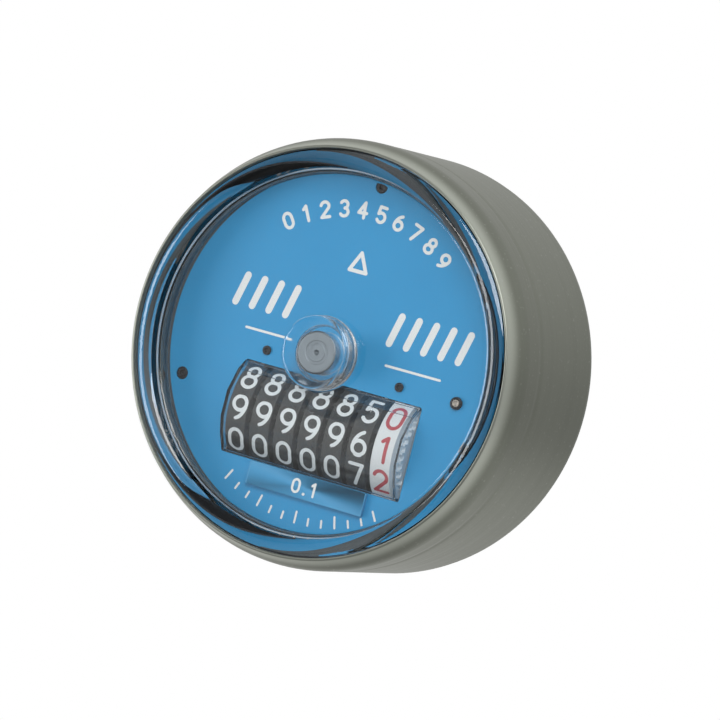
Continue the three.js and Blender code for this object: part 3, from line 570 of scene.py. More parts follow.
def bevelled(made, width, angle):
    """Rounds the edges that are sharper than an angle, as tumbling does."""
    bevel = made.modifiers.new("edges", "BEVEL")
    bevel.width = width * MM
    bevel.segments = 3
    bevel.limit_method = "ANGLE"
    bevel.angle_limit = math.radians(angle)
    bevel.harden_normals = True


# %% [markdown]
# ## The case
#
# The case is one cup of 1.2 mm steel, drawn deep, its lip rolled in over the lens. A shallow bead
# runs round it, pressed in to hold the ring behind the lens. It could be a stack of cylinders
# with bevels. A single turned profile keeps the wall one thickness and the curves continuous.

# %% The case's profile
CASE_WALL = 1.2
LIP_INSET = 2.3
LIP_FLAT = 0.45
SHOULDER_LENGTH = 4.4
SHOULDER_BLEND = 1.6
REAR_CORNER = 2.6
BEAD_DEPTH = 11.25
BEAD_HALF_LENGTH = 1.1
BEAD_DENT = 0.14
LIP_ROLL = 3.8
STUD_HOLE = 6.5

case_radius = case_high.x
case_inner = case_radius - CASE_WALL
lip_radius = case_radius - LIP_INSET
bead_y = lip_y + BEAD_DEPTH


def case_profile():
    outside = [
        (lip_radius, lip_y, 0.15),
        (lip_radius + LIP_FLAT, lip_y, 0.25),
        (case_radius, lip_y + SHOULDER_LENGTH, SHOULDER_BLEND),
        (case_radius, bead_y - BEAD_HALF_LENGTH, 0.5),
        (case_radius - BEAD_DENT, bead_y, 0.5),
        (case_radius, bead_y + BEAD_HALF_LENGTH, 0.5),
        (case_radius, 0, REAR_CORNER),
    ]
    inside = [
        (STUD_HOLE, 0, 0.2),
        (STUD_HOLE, -CASE_WALL, 0.2),
        (case_inner, -CASE_WALL, REAR_CORNER - CASE_WALL),
        (case_inner, bead_y + BEAD_HALF_LENGTH, 0.4),
        (case_inner - BEAD_DENT, bead_y, 0.5),
        (case_inner, bead_y - BEAD_HALF_LENGTH, 0.4),
        (case_inner, lip_y + LIP_ROLL, 0.4),
        (lip_radius, lip_y + CASE_WALL, 0.3),
    ]
    return outside + inside


case_mesh = turned(case_profile())
piece("drawn_case", case_mesh, "case", case_steel, ["case_shell"])

# %% [markdown]
# ## The lens
#
# The lens is one moulding: a crowned outer ring, a dished middle, a boss over the shaft's end and
# a deep skirt that is clamped in the case. The dark and blue bands round the dial are the dial
# and the parts behind it, bent by that skirt. A ring could be painted there. Building the inside
# of the moulding as truly as its face lets the bands come out by themselves, and shift as the eye
# moves.

# %% The lens's profile
RUNNING_GAP = 0.35
ANNULUS_WIDTH = 3.0
ANNULUS_CROWN = 0.5
CROWN_STEPS = 14
DISH_DEPTH = 2.6
DISH_WALL_RUN = 0.5
LENS_THICKNESS = 1.5
SKIRT_WALL = 3.7
LENS_FLANGE = 1.5
BOSS_RADIUS = 6.7
BOSS_CEILING = 1.5
SLEEVE_WALL = 1.0
SLEEVE_LENGTH = 2.9

skirt_end = lens_high.y
lens_radius = lip_radius - RUNNING_GAP
lens_flange_radius = lens_high.x
lens_inner = lip_y + DISH_DEPTH + LENS_THICKNESS


def crown(inner, outer, rise):
    """The rounded front of the lens's ring, from its inner edge to its outer edge."""
    middle, half = (inner + outer) / 2, (outer - inner) / 2
    radius = (half ** 2 + rise ** 2) / (2 * rise)
    widest = math.asin(half / radius)
    angles = [widest * (2 * step / CROWN_STEPS - 1) for step in range(CROWN_STEPS + 1)]
    return [
        (middle + radius * math.sin(a), lip_y + radius * (1 - math.cos(a))) for a in angles
    ]


def lens_profile():
    annulus_inner = lens_radius - ANNULUS_WIDTH
    skirt_inner = lens_flange_radius - SKIRT_WALL
    sleeve_radius = socket_radius + SLEEVE_WALL
    face = [
        (0, boss_top),
        (BOSS_RADIUS, boss_top, 0.7),
        (BOSS_RADIUS, lip_y + DISH_DEPTH, 0.5),
        (annulus_inner - DISH_WALL_RUN, lip_y + DISH_DEPTH, 0.8),
        *crown(annulus_inner, lens_radius, ANNULUS_CROWN),
    ]
    clamped_edge = [
        (lens_radius, skirt_end - LENS_FLANGE, 0.1),
        (lens_flange_radius, skirt_end - LENS_FLANGE, 0.2),
        (lens_flange_radius, skirt_end, 0.2),
    ]
    back = [
        (skirt_inner, skirt_end, 0.3),
        (skirt_inner, lens_inner, 0.8),
        (sleeve_radius, lens_inner, 0.4),
        (sleeve_radius, lens_inner + SLEEVE_LENGTH, 0.15),
        (socket_radius, lens_inner + SLEEVE_LENGTH, 0.15),
        (socket_radius, boss_top + BOSS_CEILING, 0.15),
        (0, boss_top + BOSS_CEILING),
    ]
    return face + clamped_edge + back


lens_mesh = turned(lens_profile(), closed=False)
piece("lens_window", lens_mesh, "case", lens_clear, ["lens"])

# %% [markdown]
# ## The seal and the ring behind the lens
#
# A rubber ring seals the lens under the lip, and a blackened steel ring keeps it there. The ring
# rests on the bead, and its front ledge reaches a little over the dial's edge. Each is one
# section turned round the axis, and a plain tube would hide the ledge.

# %% The seal
SEAL_ROUNDING = 0.25

seal_low, seal_high = box_of("lens_gasket")
seal_inner = lens_radius + PRESS_GAP
seal_mesh = turned([
    (across, along, SEAL_ROUNDING) for across, along in (
        (seal_inner, seal_low.y), (seal_high.x, seal_low.y),
        (seal_high.x, seal_high.y), (seal_inner, seal_high.y),
    )
])
piece("rubber_seal", seal_mesh, "case", rubber, ["lens_gasket"])

# %% The spacer ring
LEDGE_REACH = 0.55

dial_low, dial_high = box_of("dial_plate")
dial_front, dial_back = dial_low.y, dial_high.y
spacer_low, spacer_high = box_of("spacer_ring")
spacer_inner = dial_high.x + RUNNING_GAP
ledge_inner, ledge_back = spacer_inner - LEDGE_REACH, dial_front - RUNNING_GAP
spacer_mesh = turned([
    (ledge_inner, spacer_low.y, 0.08), (spacer_high.x, spacer_low.y, 0.12),
    (spacer_high.x, spacer_high.y, 0.12), (spacer_inner, spacer_high.y, 0.12),
    (spacer_inner, ledge_back), (ledge_inner, ledge_back, 0.08),
])
piece("lens_spacer", spacer_mesh, "case", black_steel, ["spacer_ring"])

# %% [markdown]
# ## The shaft's end
#
# The shaft stands still in the boss of the lens, and only its end shows. It was turned between
# centres, so it has a small drilled centre and fine steps, which a plain cylinder would lack.

# %% The shaft's end, with its centre hole
SHAFT_RADIUS = 1.9
SHAFT_HEAD_LENGTH = 4.4

shaft_low, shaft_high = box_of("main_shaft")
shaft_front, shaft_end = shaft_low.y, shaft_high.y


def shaft_profile():
    centre_hole = [
        (0, shaft_front + 0.55), (0.22, shaft_front + 0.4), (0.5, shaft_front, 0.05),
    ]
    face = [
        (1.6, shaft_front), (1.7, shaft_front + 0.07), (2.1, shaft_front + 0.07),
        (2.2, shaft_front), (SHAFT_HEAD_RADIUS, shaft_front, 0.35),
    ]
    stem = [
        (SHAFT_HEAD_RADIUS, shaft_front + SHAFT_HEAD_LENGTH, 0.2),
        (SHAFT_RADIUS, shaft_front + SHAFT_HEAD_LENGTH, 0.1),
        (SHAFT_RADIUS, shaft_end, 0.2),
        (0, shaft_end),
    ]
    return centre_hole + face + stem


shaft_mesh = turned(shaft_profile(), closed=False)
piece("turned_shaft", shaft_mesh, "case", dull_steel, ["main_shaft"])

# %% [markdown]
# ## The dial and its plate
#
# The dial is a painted steel disc with a window. It could be a cylinder with boolean holes.
# Filling one outline and its holes is cleaner, and leaves its face truly flat. A little plate
# rests on it under the window, and a small bevel gives that plate's stamped edge its light.

# %% The dial and the small plate
WINDOW_FIT = 0.15
WINDOW_CORNER = 0.5
PLATE_CORNER = 0.3
CENTRE_HOLE = 3.4
PILLAR_END_RADIUS = 1.1
SCREW_SHANK = 0.5
RIVET_SHANK = 0.7

cover_low, cover_high = box_of("counter_cover")
window_left, window_right = cover_low.x - WINDOW_FIT, cover_high.x + WINDOW_FIT
window_bottom, window_top = cover_low.z - WINDOW_FIT, cover_high.z + WINDOW_FIT
pillar_nodes = [f"dial_pillar_{number}" for number in (1, 2, 3)]
screw_nodes = ["dial_screw_left", "dial_screw_right"]


def centre_of(node):
    low, high = box_of(node)
    return (low.x + high.x) / 2, (low.z + high.z) / 2


def panel(left, right, bottom, top, cut):
    corners = [(left, bottom, cut), (right, bottom, cut), (right, top, cut), (left, top, cut)]
    return rounded(corners)


def dial_holes():
    small = [(node, PILLAR_END_RADIUS + PRESS_GAP) for node in pillar_nodes]
    small += [(node, SCREW_SHANK + PRESS_GAP) for node in screw_nodes]
    small += [("dial_rivet", RIVET_SHANK + PRESS_GAP)]
    return [
        panel(window_left, window_right, window_bottom, window_top, WINDOW_CORNER),
        circle(CENTRE_HOLE, sides=64),
        *[circle(radius, centre_of(node), sides=32) for node, radius in small],
    ]


dial_mesh = stamped(circle(dial_high.x), dial_holes(), dial_front, dial_back)
piece("painted_dial", dial_mesh, "movement", dial_paint, ["dial_plate"])

plate_low, plate_high = box_of("unit_plate")
plate_outline = panel(plate_low.x, plate_high.x, plate_low.z, plate_high.z, PLATE_CORNER)
plate_mesh = stamped(plate_outline, [], plate_low.y, plate_high.y)
small_plate = piece(
    "small_plate", plate_mesh, "movement", plate_paint, ["unit_plate"]
)
bevelled(small_plate, 0.12, 40)

# %% [markdown]
# ## Drawing numerals
#
# The counter's numerals are strokes of one width with round ends. Blender's own font could set
# them, but its shapes are wider than these. Each numeral here is a few lines and arcs in a box
# one unit high, and a helper turns them into ribbons and lays them on a drum or on the dial.

# %% Strokes for the ten numerals
def arc(across, up, wide, high, start, end):
    steps = max(2, round(abs(end - start) / 15))
    angles = [math.radians(start + (end - start) * i / steps) for i in range(steps + 1)]
    return [(across + wide * math.cos(a), up + high * math.sin(a)) for a in angles]


HALF_WIDE = 0.25
HALF_HIGH = 0.43
BOWL = arc(0, -0.18, HALF_WIDE, 0.25, 180, 540)
ZERO = arc(0, 0.14, HALF_WIDE, 0.29, 0, 180) + arc(0, -0.14, HALF_WIDE, 0.29, 180, 360)
SIX = [BOWL, arc(0.26, -0.18, 0.51, 0.61, 180, 112)]
TWO_ARC = arc(0, 0.19, HALF_WIDE, 0.24, 165, -25)
FIVE_ARC = arc(0, -0.16, HALF_WIDE, 0.27, 125, -145)
STROKES = {
    0: [ZERO + ZERO[:1]],
    1: [[(-0.13, 0.27), (0.05, HALF_HIGH)], [(0.05, HALF_HIGH), (0.05, -HALF_HIGH)]],
    2: [TWO_ARC + [(-0.25, -HALF_HIGH)], [(-0.25, -HALF_HIGH), (0.25, -HALF_HIGH)]],
    3: [arc(0, 0.22, 0.22, 0.21, 150, -80), arc(0, -0.2, HALF_WIDE, 0.23, 80, -150)],
    4: [[(0.1, -HALF_HIGH), (0.1, HALF_HIGH)], [(0.1, HALF_HIGH), (-0.25, -0.16)],
        [(-0.25, -0.16), (0.26, -0.16)]],
    5: [[(0.21, HALF_HIGH), (-0.17, HALF_HIGH)], [(-0.17, HALF_HIGH), (-0.2, 0.03)],
        [(-0.2, 0.03)] + FIVE_ARC],
    6: SIX,
    7: [[(-0.25, HALF_HIGH), (0.25, HALF_HIGH)], [(0.25, HALF_HIGH), (-0.07, -HALF_HIGH)]],
    8: [arc(0, 0.22, 0.2, 0.21, -90, 270), arc(0, -0.2, HALF_WIDE, 0.23, 90, 450)],
    9: [[(-across, -up) for across, up in stroke] for stroke in SIX],
}
print("numerals:", sorted(STROKES))

# %% [markdown]
# ## Ribbons along the strokes
#
# Print is a thin flat layer, so a stroke becomes a ribbon with round ends, not a tube. The
# ribbon's steps are short enough to bend round a drum, and each of a numeral's strokes lies a
# hair above the last one, as no two faces may share a place.

# %% From a stroke to a ribbon
CAP_STEPS = 6
MITRE_LIMIT = 1.7
LONGEST_STEP = 0.4
LAYER = 0.004


def side_of(before, after):
    """Across a corner, to the left of the way along it."""
    first, second = before.normalized(), after.normalized()
    middle = (first + second).normalized()
    reach = min(MITRE_LIMIT, 1 / max(0.1, middle.dot(first)))
    return Vector((-middle.y, middle.x)) * reach


def short_steps(stroke):
    """The same stroke in steps short enough to follow a drum."""
    points = [Vector(stroke[0])]
    for end in map(Vector, stroke[1:]):
        start = points[-1]
        count = math.ceil((end - start).length / LONGEST_STEP)
        points += [start.lerp(end, (i + 1) / count) for i in range(count)]
    return points


def ribbon(mesh, stroke, width, lay):
    """A flat band along a stroke. lay turns (across, up) into a place on the real surface."""
    points = short_steps(stroke)
    closed = (points[0] - points[-1]).length < 1e-4
    if closed:
        points.pop()
    count = len(points)
    pairs = []
    for i, point in enumerate(points):
        ahead = points[(i + 1) % count] - point if closed or i < count - 1 else None
        behind = point - points[i - 1] if closed or i > 0 else None
        side = side_of(behind or ahead, ahead or behind) * width / 2
        pairs.append([mesh.verts.new(lay(*(point + s * side))) for s in (1, -1)])
    for i in range(count if closed else count - 1):
        (a, b), (c, d) = pairs[i], pairs[(i + 1) % count]
        mesh.faces.new((a, b, d, c))
    if not closed:
        round_end(mesh, points[0], points[0] - points[1], pairs[0], width, lay)
        round_end(mesh, points[-1], points[-1] - points[-2], pairs[-1][::-1], width, lay)


def round_end(mesh, point, outward, pair, width, lay):
    start = math.atan2(outward.y, outward.x) - math.pi / 2
    turns = [start + math.pi * i / CAP_STEPS for i in range(1, CAP_STEPS)]
    rim = [point + Vector((math.cos(a), math.sin(a))) * width / 2 for a in turns]
    mesh.faces.new([pair[0], *[mesh.verts.new(lay(*p)) for p in rim], pair[1]])


def layered(mesh, strokes, width, lay):
    for layer, stroke in enumerate(strokes):
        ribbon(mesh, stroke, width, lambda across, up: lay(across, up, layer * LAYER))


def numeral(mesh, digit, height, stroke_width, lay):
    strokes = [[(across * height, up * height) for across, up in s] for s in STROKES[digit]]
    layered(mesh, strokes, stroke_width, lay)


print("a 5 mm stroke takes", len(short_steps([(0, 0), (0, 5)])), "points")

# %% [markdown]
# ## The number wheels
#
# Each wheel keeps its CAD hub and gears, and gets a smooth moulded band with ten numerals round
# it. Seven wheels show a reading, and a turn of a tenth brings up the next numeral, which waits
# below. The tenths wheel is white with red numerals, so that it isn't read as a whole unit.

# %% Bands and numerals
WHEEL_PITCH = 5.0
WHEEL_RADIUS = 9.7
RIM_WIDTH = 4.0
BAND_RADIUS = 9.76
BAND_DEPTH = 0.35
BAND_CORNER = 0.14
FIRST_BAND_MIDDLE = 2.35
PRINT_LIFT = 0.02
NUMERAL_HEIGHT = 5.1
NUMERAL_STROKE = 0.68
NUMERAL_OFFSET = 0.25
NUMERAL_TURN = math.radians(36)
SHOWN = {"tenths_wheel": 1, "number_wheel_1": 6}
SHOWN_ELSEWHERE = 9

tenths_low, tenths_high = box_of("tenths_wheel")
axis_y = (tenths_low.y + tenths_high.y) / 2
axis_z = (tenths_low.z + tenths_high.z) / 2
tenths_x = tenths_low.x + FIRST_BAND_MIDDLE
wheel_names = ["tenths_wheel"] + [f"number_wheel_{number}" for number in range(1, 7)]


def band(middle):
    left, right, inner = middle - RIM_WIDTH / 2, middle + RIM_WIDTH / 2, BAND_RADIUS - BAND_DEPTH
    return turned([
        (inner, left), (BAND_RADIUS, left, BAND_CORNER),
        (BAND_RADIUS, right, BAND_CORNER), (inner, right),
    ], "X", (axis_y, axis_z))


def on_drum(middle, turn):
    """Lays (across, up) on the drum, turned up from the side that faces the reader."""
    def lay(across, up, lift=0.0):
        radius = BAND_RADIUS + PRINT_LIFT + lift
        angle = turn + up / radius
        forward, rise = radius * math.cos(angle), radius * math.sin(angle)
        return Vector((middle + NUMERAL_OFFSET + across, axis_y - forward, axis_z + rise))

    return lay


def drum_numerals(middle, shown):
    mesh = bmesh.new()
    for digit in range(10):
        turn = -NUMERAL_TURN * (digit - shown)
        numeral(mesh, digit, NUMERAL_HEIGHT, NUMERAL_STROKE, on_drum(middle, turn))
    return mesh


for place, wheel in enumerate(wheel_names):
    middle = tenths_x - WHEEL_PITCH * place
    white = wheel == "tenths_wheel"
    plastic, slot = (white_plastic, "wheel_white") if white else (black_plastic, "wheel_black")
    ink = numeral_red if white else numeral_white
    shown = SHOWN.get(wheel, SHOWN_ELSEWHERE)
    piece(f"{wheel}_band", band(middle), wheel, plastic)
    piece(f"{wheel}_numerals", drum_numerals(middle, shown), wheel, ink)

# %% [markdown]
# ## The print on the dial
#
# The dial carries plain marks in white: numerals in an arc, an index mark, slanted bars on both
# sides of the boss, thin rules and a row of ticks. An image could hold them. Ribbons stay sharp
# at any distance and need no unwrapping. A dark ring of painted shade runs round the dial's edge,
# and the lens bends it into the dark ring round the blue. The small plate says only what the red
# wheel counts: tenths.

# %% Places on the dial
def on_flat(centre, turn=0.0, front=dial_front):
    """Lays (across, up) on a flat face, round a centre given in X and Z."""
    cosine, sine = math.cos(turn), math.sin(turn)

    def lay(across, up, lift=0.0):
        x = centre[0] + across * cosine - up * sine
        z = centre[1] + across * sine + up * cosine
        return Vector((x, front - PRINT_LIFT - lift, z))

    return lay


def on_circle(radius, degrees):
    """A place on the dial at an angle from the top, clockwise, with its up away from the middle."""
    angle = math.radians(degrees)
    return on_flat((radius * math.sin(angle), radius * math.cos(angle)), -angle)


print("the print lies", PRINT_LIFT, "mm above the paint")

# %% Marks on the dial
ARC_RADIUS, ARC_STEP = 26.6, 8.2
ARC_HEIGHT, ARC_STROKE = 3.2, 0.6
BAR_GROUPS = [(-21.8, 4), (10.2, 5)]
BAR_PITCH, BAR_MIDDLE = 3.5, 7.2
BAR_STROKE = 1.35
BAR = [(-0.65, -2.6), (0.65, 2.6)]
RULES = [(-19, -9), (10, 21)]
RULE_HEIGHT, RULE_STROKE = 0.6, 0.45
TICK_RADIUS, TICK_STROKE = 31.2, 0.4
TICK_DEGREES = range(150, 211, 5)
LONG_TICK_DEGREES = 15
LONG_TICK, SHORT_TICK = 2.0, 1.2
INDEX_CORNERS = [(-1.7, 15.6), (0, 19.0), (1.7, 15.6)]
INDEX_STROKE = 0.7


def dial_marks():
    mesh = bmesh.new()
    for digit in range(10):
        lay = on_circle(ARC_RADIUS, (digit - 4.5) * ARC_STEP)
        numeral(mesh, digit, ARC_HEIGHT, ARC_STROKE, lay)
    left, top, right = INDEX_CORNERS
    layered(mesh, [[left, top], [top, right], [right, left]], INDEX_STROKE, on_flat((0, 0)))
    for first, count in BAR_GROUPS:
        for number in range(count):
            ribbon(mesh, BAR, BAR_STROKE, on_flat((first + BAR_PITCH * number, BAR_MIDDLE)))
    for left, right in RULES:
        ribbon(mesh, [(left, RULE_HEIGHT), (right, RULE_HEIGHT)], RULE_STROKE, on_flat((0, 0)))
    for degrees in TICK_DEGREES:
        length = SHORT_TICK if degrees % LONG_TICK_DEGREES else LONG_TICK
        ribbon(mesh, [(0, 0), (0, -length)], TICK_STROKE, on_circle(TICK_RADIUS, degrees))
    return mesh


piece("dial_marks", dial_marks(), "movement", print_white)

# %% The painted shade round the dial's edge
# A ring of painted shade on the dial's margin, for the dark under the lens's rim.
PAINTED_SHADE_RADII = 33.8, 34.6


def painted_shade_mesh():
    mesh = bmesh.new()
    lay = on_flat((0, 0))
    inner, outer = [[mesh.verts.new(lay(*p)) for p in circle(radius)] for radius in PAINTED_SHADE_RADII]
    for i in range(SIDES):
        mesh.faces.new((inner[i - 1], inner[i], outer[i], outer[i - 1]))
    return mesh


piece("dial_painted_shade", painted_shade_mesh(), "movement", painted_shade_dark)

# %% Marks on the small plate
PLATE_NUMERALS = [(0, -1.9), (1, 1.7)]
PLATE_NUMERAL_HEIGHT, PLATE_NUMERAL_STROKE = 2.7, 0.45
POINT = [(-0.1, -1.15), (-0.08, -1.15)]
POINT_STROKE = 0.55


def plate_marks():
    mesh = bmesh.new()
    middle_x, middle_z = centre_of("unit_plate")
    for digit, across in PLATE_NUMERALS:
        lay = on_flat((middle_x + across, middle_z), front=plate_low.y)
        numeral(mesh, digit, PLATE_NUMERAL_HEIGHT, PLATE_NUMERAL_STROKE, lay)
    ribbon(mesh, POINT, POINT_STROKE, on_flat((middle_x, middle_z), front=plate_low.y))
    return mesh


piece("plate_marks", plate_marks(), "movement", print_white)

# %% [markdown]
# ## The counter's cover
#
# A clear faceted cover keeps the wheels clean. Its creases are what breaks the numerals up in the
# photograph. It could be a bent sheet with thickness added. Building the outer and inner faces
# from one section keeps each facet flat, and a hair-fine bevel puts the bright line on each
# crease.

# %% The cover's section and its walls
COVER_WALL = 0.5
COVER_DISTANCE = WHEEL_RADIUS + RUNNING_GAP
FACETS = [51, 28, 0, -23.5, -36]

cover_half = (cover_high.z - cover_low.z) / 2


def cover_section(distance, wall):
    """The section as (forward, up) from the wheels' axis: flat facets at one distance from it."""
    rim, edge = axis_y - cover_high.y, cover_half - wall
    angles = [math.radians(degrees) for degrees in FACETS]

    def at_edge(angle, up):
        return (distance - up * math.sin(angle)) / math.cos(angle)

    creases = []
    for first, second in zip(angles, angles[1:]):
        reach = distance / math.cos((first - second) / 2)
        middle = (first + second) / 2
        creases.append((reach * math.cos(middle), reach * math.sin(middle)))
    return [
        (rim, edge), (at_edge(angles[0], edge), edge), *creases,
        (at_edge(angles[-1], -edge), -edge), (rim, -edge),
    ]


def cover_mesh():
    mesh = bmesh.new()
    loops = []
    for wall in (0, COVER_WALL):
        section = cover_section(COVER_DISTANCE + COVER_WALL - wall, wall)
        for x in (cover_low.x + wall, cover_high.x - wall):
            points = [(x, axis_y - forward, axis_z + up) for forward, up in section]
            loops.append([mesh.verts.new(point) for point in points])
    outer_left, outer_right, inner_left, inner_right = loops
    for left, right in ((outer_left, outer_right), (inner_left, inner_right)):
        for i in range(len(left) - 1):
            mesh.faces.new((left[i], left[i + 1], right[i + 1], right[i]))
    for loop in loops:
        mesh.faces.new(loop)
    for a, b in ((outer_left, inner_left), (outer_right, inner_right)):
        mesh.faces.new((a[0], a[-1], b[-1], b[0]))
    for end in (0, -1):
        mesh.faces.new((outer_left[end], outer_right[end], inner_right[end], inner_left[end]))
    return mesh


cover = piece(
    "faceted_cover", cover_mesh(), "movement", cover_clear, ["counter_cover"]
)
bevelled(cover, 0.1, 8)

# %% [markdown]
# ## Small fasteners
#
# Two black fasteners hold the dial above its window, a pale rivet in a dark rim sits at the right,
# and the ends of three pillars come up flush with the dial. They could be discs laid on the dial.
# Each is turned whole instead, with the small hollow that the real one shows in its end.

# %% The two black fasteners
HEAD_RADIUS = 0.85
HEAD_THICKNESS = 0.3
HOLLOW_RADIUS = 0.32
HOLLOW_DEPTH = 0.25
SMALL_SIDES = 40


def headed_profile(front, back):
    floor, under = front + HOLLOW_DEPTH, front + HEAD_THICKNESS
    return [
        (0, floor), (HOLLOW_RADIUS, floor, 0.05), (HOLLOW_RADIUS + 0.1, front, 0.05),
        (HEAD_RADIUS, front, 0.14), (HEAD_RADIUS, under),
        (SCREW_SHANK, under), (SCREW_SHANK, back, 0.1), (0, back),
    ]


def small_turned(node, profile, suffix, sides=SMALL_SIDES):
    low, high = box_of(node)
    mesh = turned(profile(low.y, high.y), centre=centre_of(node), closed=False, sides=sides)
    piece(f"{node}_{suffix}", mesh, "movement", black_steel, [node])


for node in screw_nodes:
    small_turned(node, headed_profile, "head")

# %% The rivet: a dark rim round a pale end
RIM_RADIUS = 1.15
RIM_CREST_RADIUS = 0.85
RIM_THICKNESS = 0.5
END_RADIUS = 0.68

rivet_low, rivet_high = box_of("dial_rivet")
rivet_front = rivet_low.y
rivet_core = turned(
    [(0, rivet_front + 0.12), (0.3, rivet_front + 0.1, 0.05), (0.45, rivet_front + 0.02, 0.05),
     (END_RADIUS, rivet_front + 0.02, 0.1), (END_RADIUS, rivet_high.y, 0.1), (0, rivet_high.y)],
    centre=centre_of("dial_rivet"), closed=False, sides=SMALL_SIDES,
)
rivet_rim = turned(
    [(END_RADIUS + 0.02, rivet_front + 0.16), (RIM_CREST_RADIUS, rivet_front, 0.05),
     (RIM_RADIUS, rivet_front + 0.1, 0.1), (RIM_RADIUS, rivet_front + RIM_THICKNESS),
     (END_RADIUS + 0.02, rivet_front + RIM_THICKNESS)],
    centre=centre_of("dial_rivet"), sides=SMALL_SIDES,
)
piece("dial_rivet_end", rivet_core, "movement", aluminium, ["dial_rivet"])
piece("dial_rivet_rim", rivet_rim, "movement", black_steel)

# %% Pillars
PILLAR_RADIUS = 1.7
PILLAR_SIDES = 48


def pillar_profile(front, back):
    front_shoulder = dial_back + PRESS_GAP
    back_shoulder = box_of("back_plate")[0].y - PRESS_GAP
    return [
        (0, front + 0.35), (0.35, front + 0.3, 0.05), (0.5, front, 0.05),
        (PILLAR_END_RADIUS, front, 0.2), (PILLAR_END_RADIUS, front_shoulder),
        (PILLAR_RADIUS, front_shoulder, 0.15), (PILLAR_RADIUS, back_shoulder, 0.15),
        (PILLAR_END_RADIUS, back_shoulder), (PILLAR_END_RADIUS, back, 0.15), (0, back),
    ]


for node in pillar_nodes:
    small_turned(node, pillar_profile, "turned", PILLAR_SIDES)

# %% [markdown]
# ## The stud
#
# The CAD stud is plain, so its thread is cut here. A helix could be swept along it and cut out
# with a boolean. It is cleaner to turn the stud in fine rows and let each point's radius follow a
# wave that climbs one pitch for each turn.

# %% The stud's thread
STUD_RADIUS = 6.35
THREAD_PITCH = 1.27
THREAD_DEPTH = 0.78
THREAD_CREST = 1.25
THREAD_ROWS_PER_PITCH = 8
THREAD_START = 0.4
STUD_CHAMFER = 1.0
STUD_FLANGE = 1.3
STUD_BORE_END = 6

stud_low, stud_high = box_of("mounting_stud")
stud_end = stud_high.y


def thread_radius(radius, along, angle):
    if radius < STUD_RADIUS - STUD_CHAMFER or radius > STUD_RADIUS or along < THREAD_START:
        return radius
    phase = (along / THREAD_PITCH - angle / (2 * math.pi)) % 1
    wave = min(1.0, max(0.0, THREAD_CREST * (1 - abs(2 * phase - 1))))
    run_out = min(1.0, (along - THREAD_START) / THREAD_PITCH)
    return min(radius, STUD_RADIUS - THREAD_DEPTH * (1 - wave) * run_out)


def stud_profile():
    bore, flange_back = SHAFT_RADIUS + PRESS_GAP, stud_low.y + STUD_FLANGE
    length = stud_end - STUD_CHAMFER - THREAD_START
    rows = round(length / THREAD_PITCH * THREAD_ROWS_PER_PITCH)
    thread = [(STUD_RADIUS, THREAD_START + length / rows * row) for row in range(rows + 1)]
    shares = [0.2, 0.4, 0.6, 0.8, 1.0]
    tip = [(STUD_RADIUS - STUD_CHAMFER * s, stud_end - STUD_CHAMFER * (1 - s)) for s in shares]
    return [
        (bore, stud_low.y), (stud_high.x, stud_low.y, 0.2), (stud_high.x, flange_back, 0.2),
        (STUD_RADIUS, flange_back), *thread, *tip,
        (0, stud_end), (0, STUD_BORE_END), (bore, STUD_BORE_END),
    ]


def shaped(mesh, shape):
    """Changes a turned mesh's radii by a rule of radius, place along the axis and angle."""
    for vertex in mesh.verts:
        radius = math.hypot(vertex.co.x, vertex.co.z)
        if radius > 0:
            angle = math.atan2(vertex.co.z, vertex.co.x) % (2 * math.pi)
            share = shape(radius, vertex.co.y, angle) / radius
            vertex.co.x *= share
            vertex.co.z *= share
    return mesh


stud_mesh = shaped(turned(stud_profile(), sides=72), thread_radius)
piece("threaded_stud", stud_mesh, "case", zinc_plate, ["mounting_stud"])

# %% [markdown]
# ## The nut and the washer
#
# A nut is a hexagon cut by a cone at each end, which leaves round chamfer marks on its flats. A
# bevelled prism wouldn't show them, so the cone is turned and then trimmed to the hexagon. The
# spring washer is a ring with a slanted cut and a small rise, drawn as one section carried round
# a turn.

# %% The nut
NUT_HALF_FLATS = 9.5
NUT_BORE = 6.45
NUT_BORE_CHAMFER = 0.6
CHAMFER_START = 9.3
CHAMFER_LENGTH = 0.9
CHAMFER_ROWS = 8
NUT_SIDES = 144

nut_low, nut_high = box_of("hub_nut")


def hexagon_radius(radius, along, angle):
    if radius < CHAMFER_START:
        return radius
    from_flat = angle % math.radians(60) - math.radians(30)
    return min(radius, NUT_HALF_FLATS / math.cos(from_flat))


def nut_profile():
    cone, start = nut_high.x - CHAMFER_START, nut_low.y
    steps = [row / CHAMFER_ROWS for row in range(CHAMFER_ROWS + 1)]
    front = [(CHAMFER_START + cone * step, start + CHAMFER_LENGTH * step) for step in steps]
    back = [(radius, nut_low.y + nut_high.y - along) for radius, along in reversed(front)]
    mouth = NUT_BORE + NUT_BORE_CHAMFER
    return [
        (mouth, nut_low.y), *front, *back, (mouth, nut_high.y),
        (NUT_BORE, nut_high.y - NUT_BORE_CHAMFER), (NUT_BORE, nut_low.y + NUT_BORE_CHAMFER),
    ]


nut_mesh = shaped(turned(nut_profile(), sides=NUT_SIDES), hexagon_radius)
piece("chamfered_nut", nut_mesh, "case", zinc_plate, ["hub_nut"])

# %% The spring washer
WASHER_GAP = math.radians(5)
WASHER_RISE = 0.3
WASHER_LEAN = math.radians(6)
WASHER_STEPS = 120
WASHER_CORNER = 0.15

washer_low, washer_high = box_of("lock_washer")


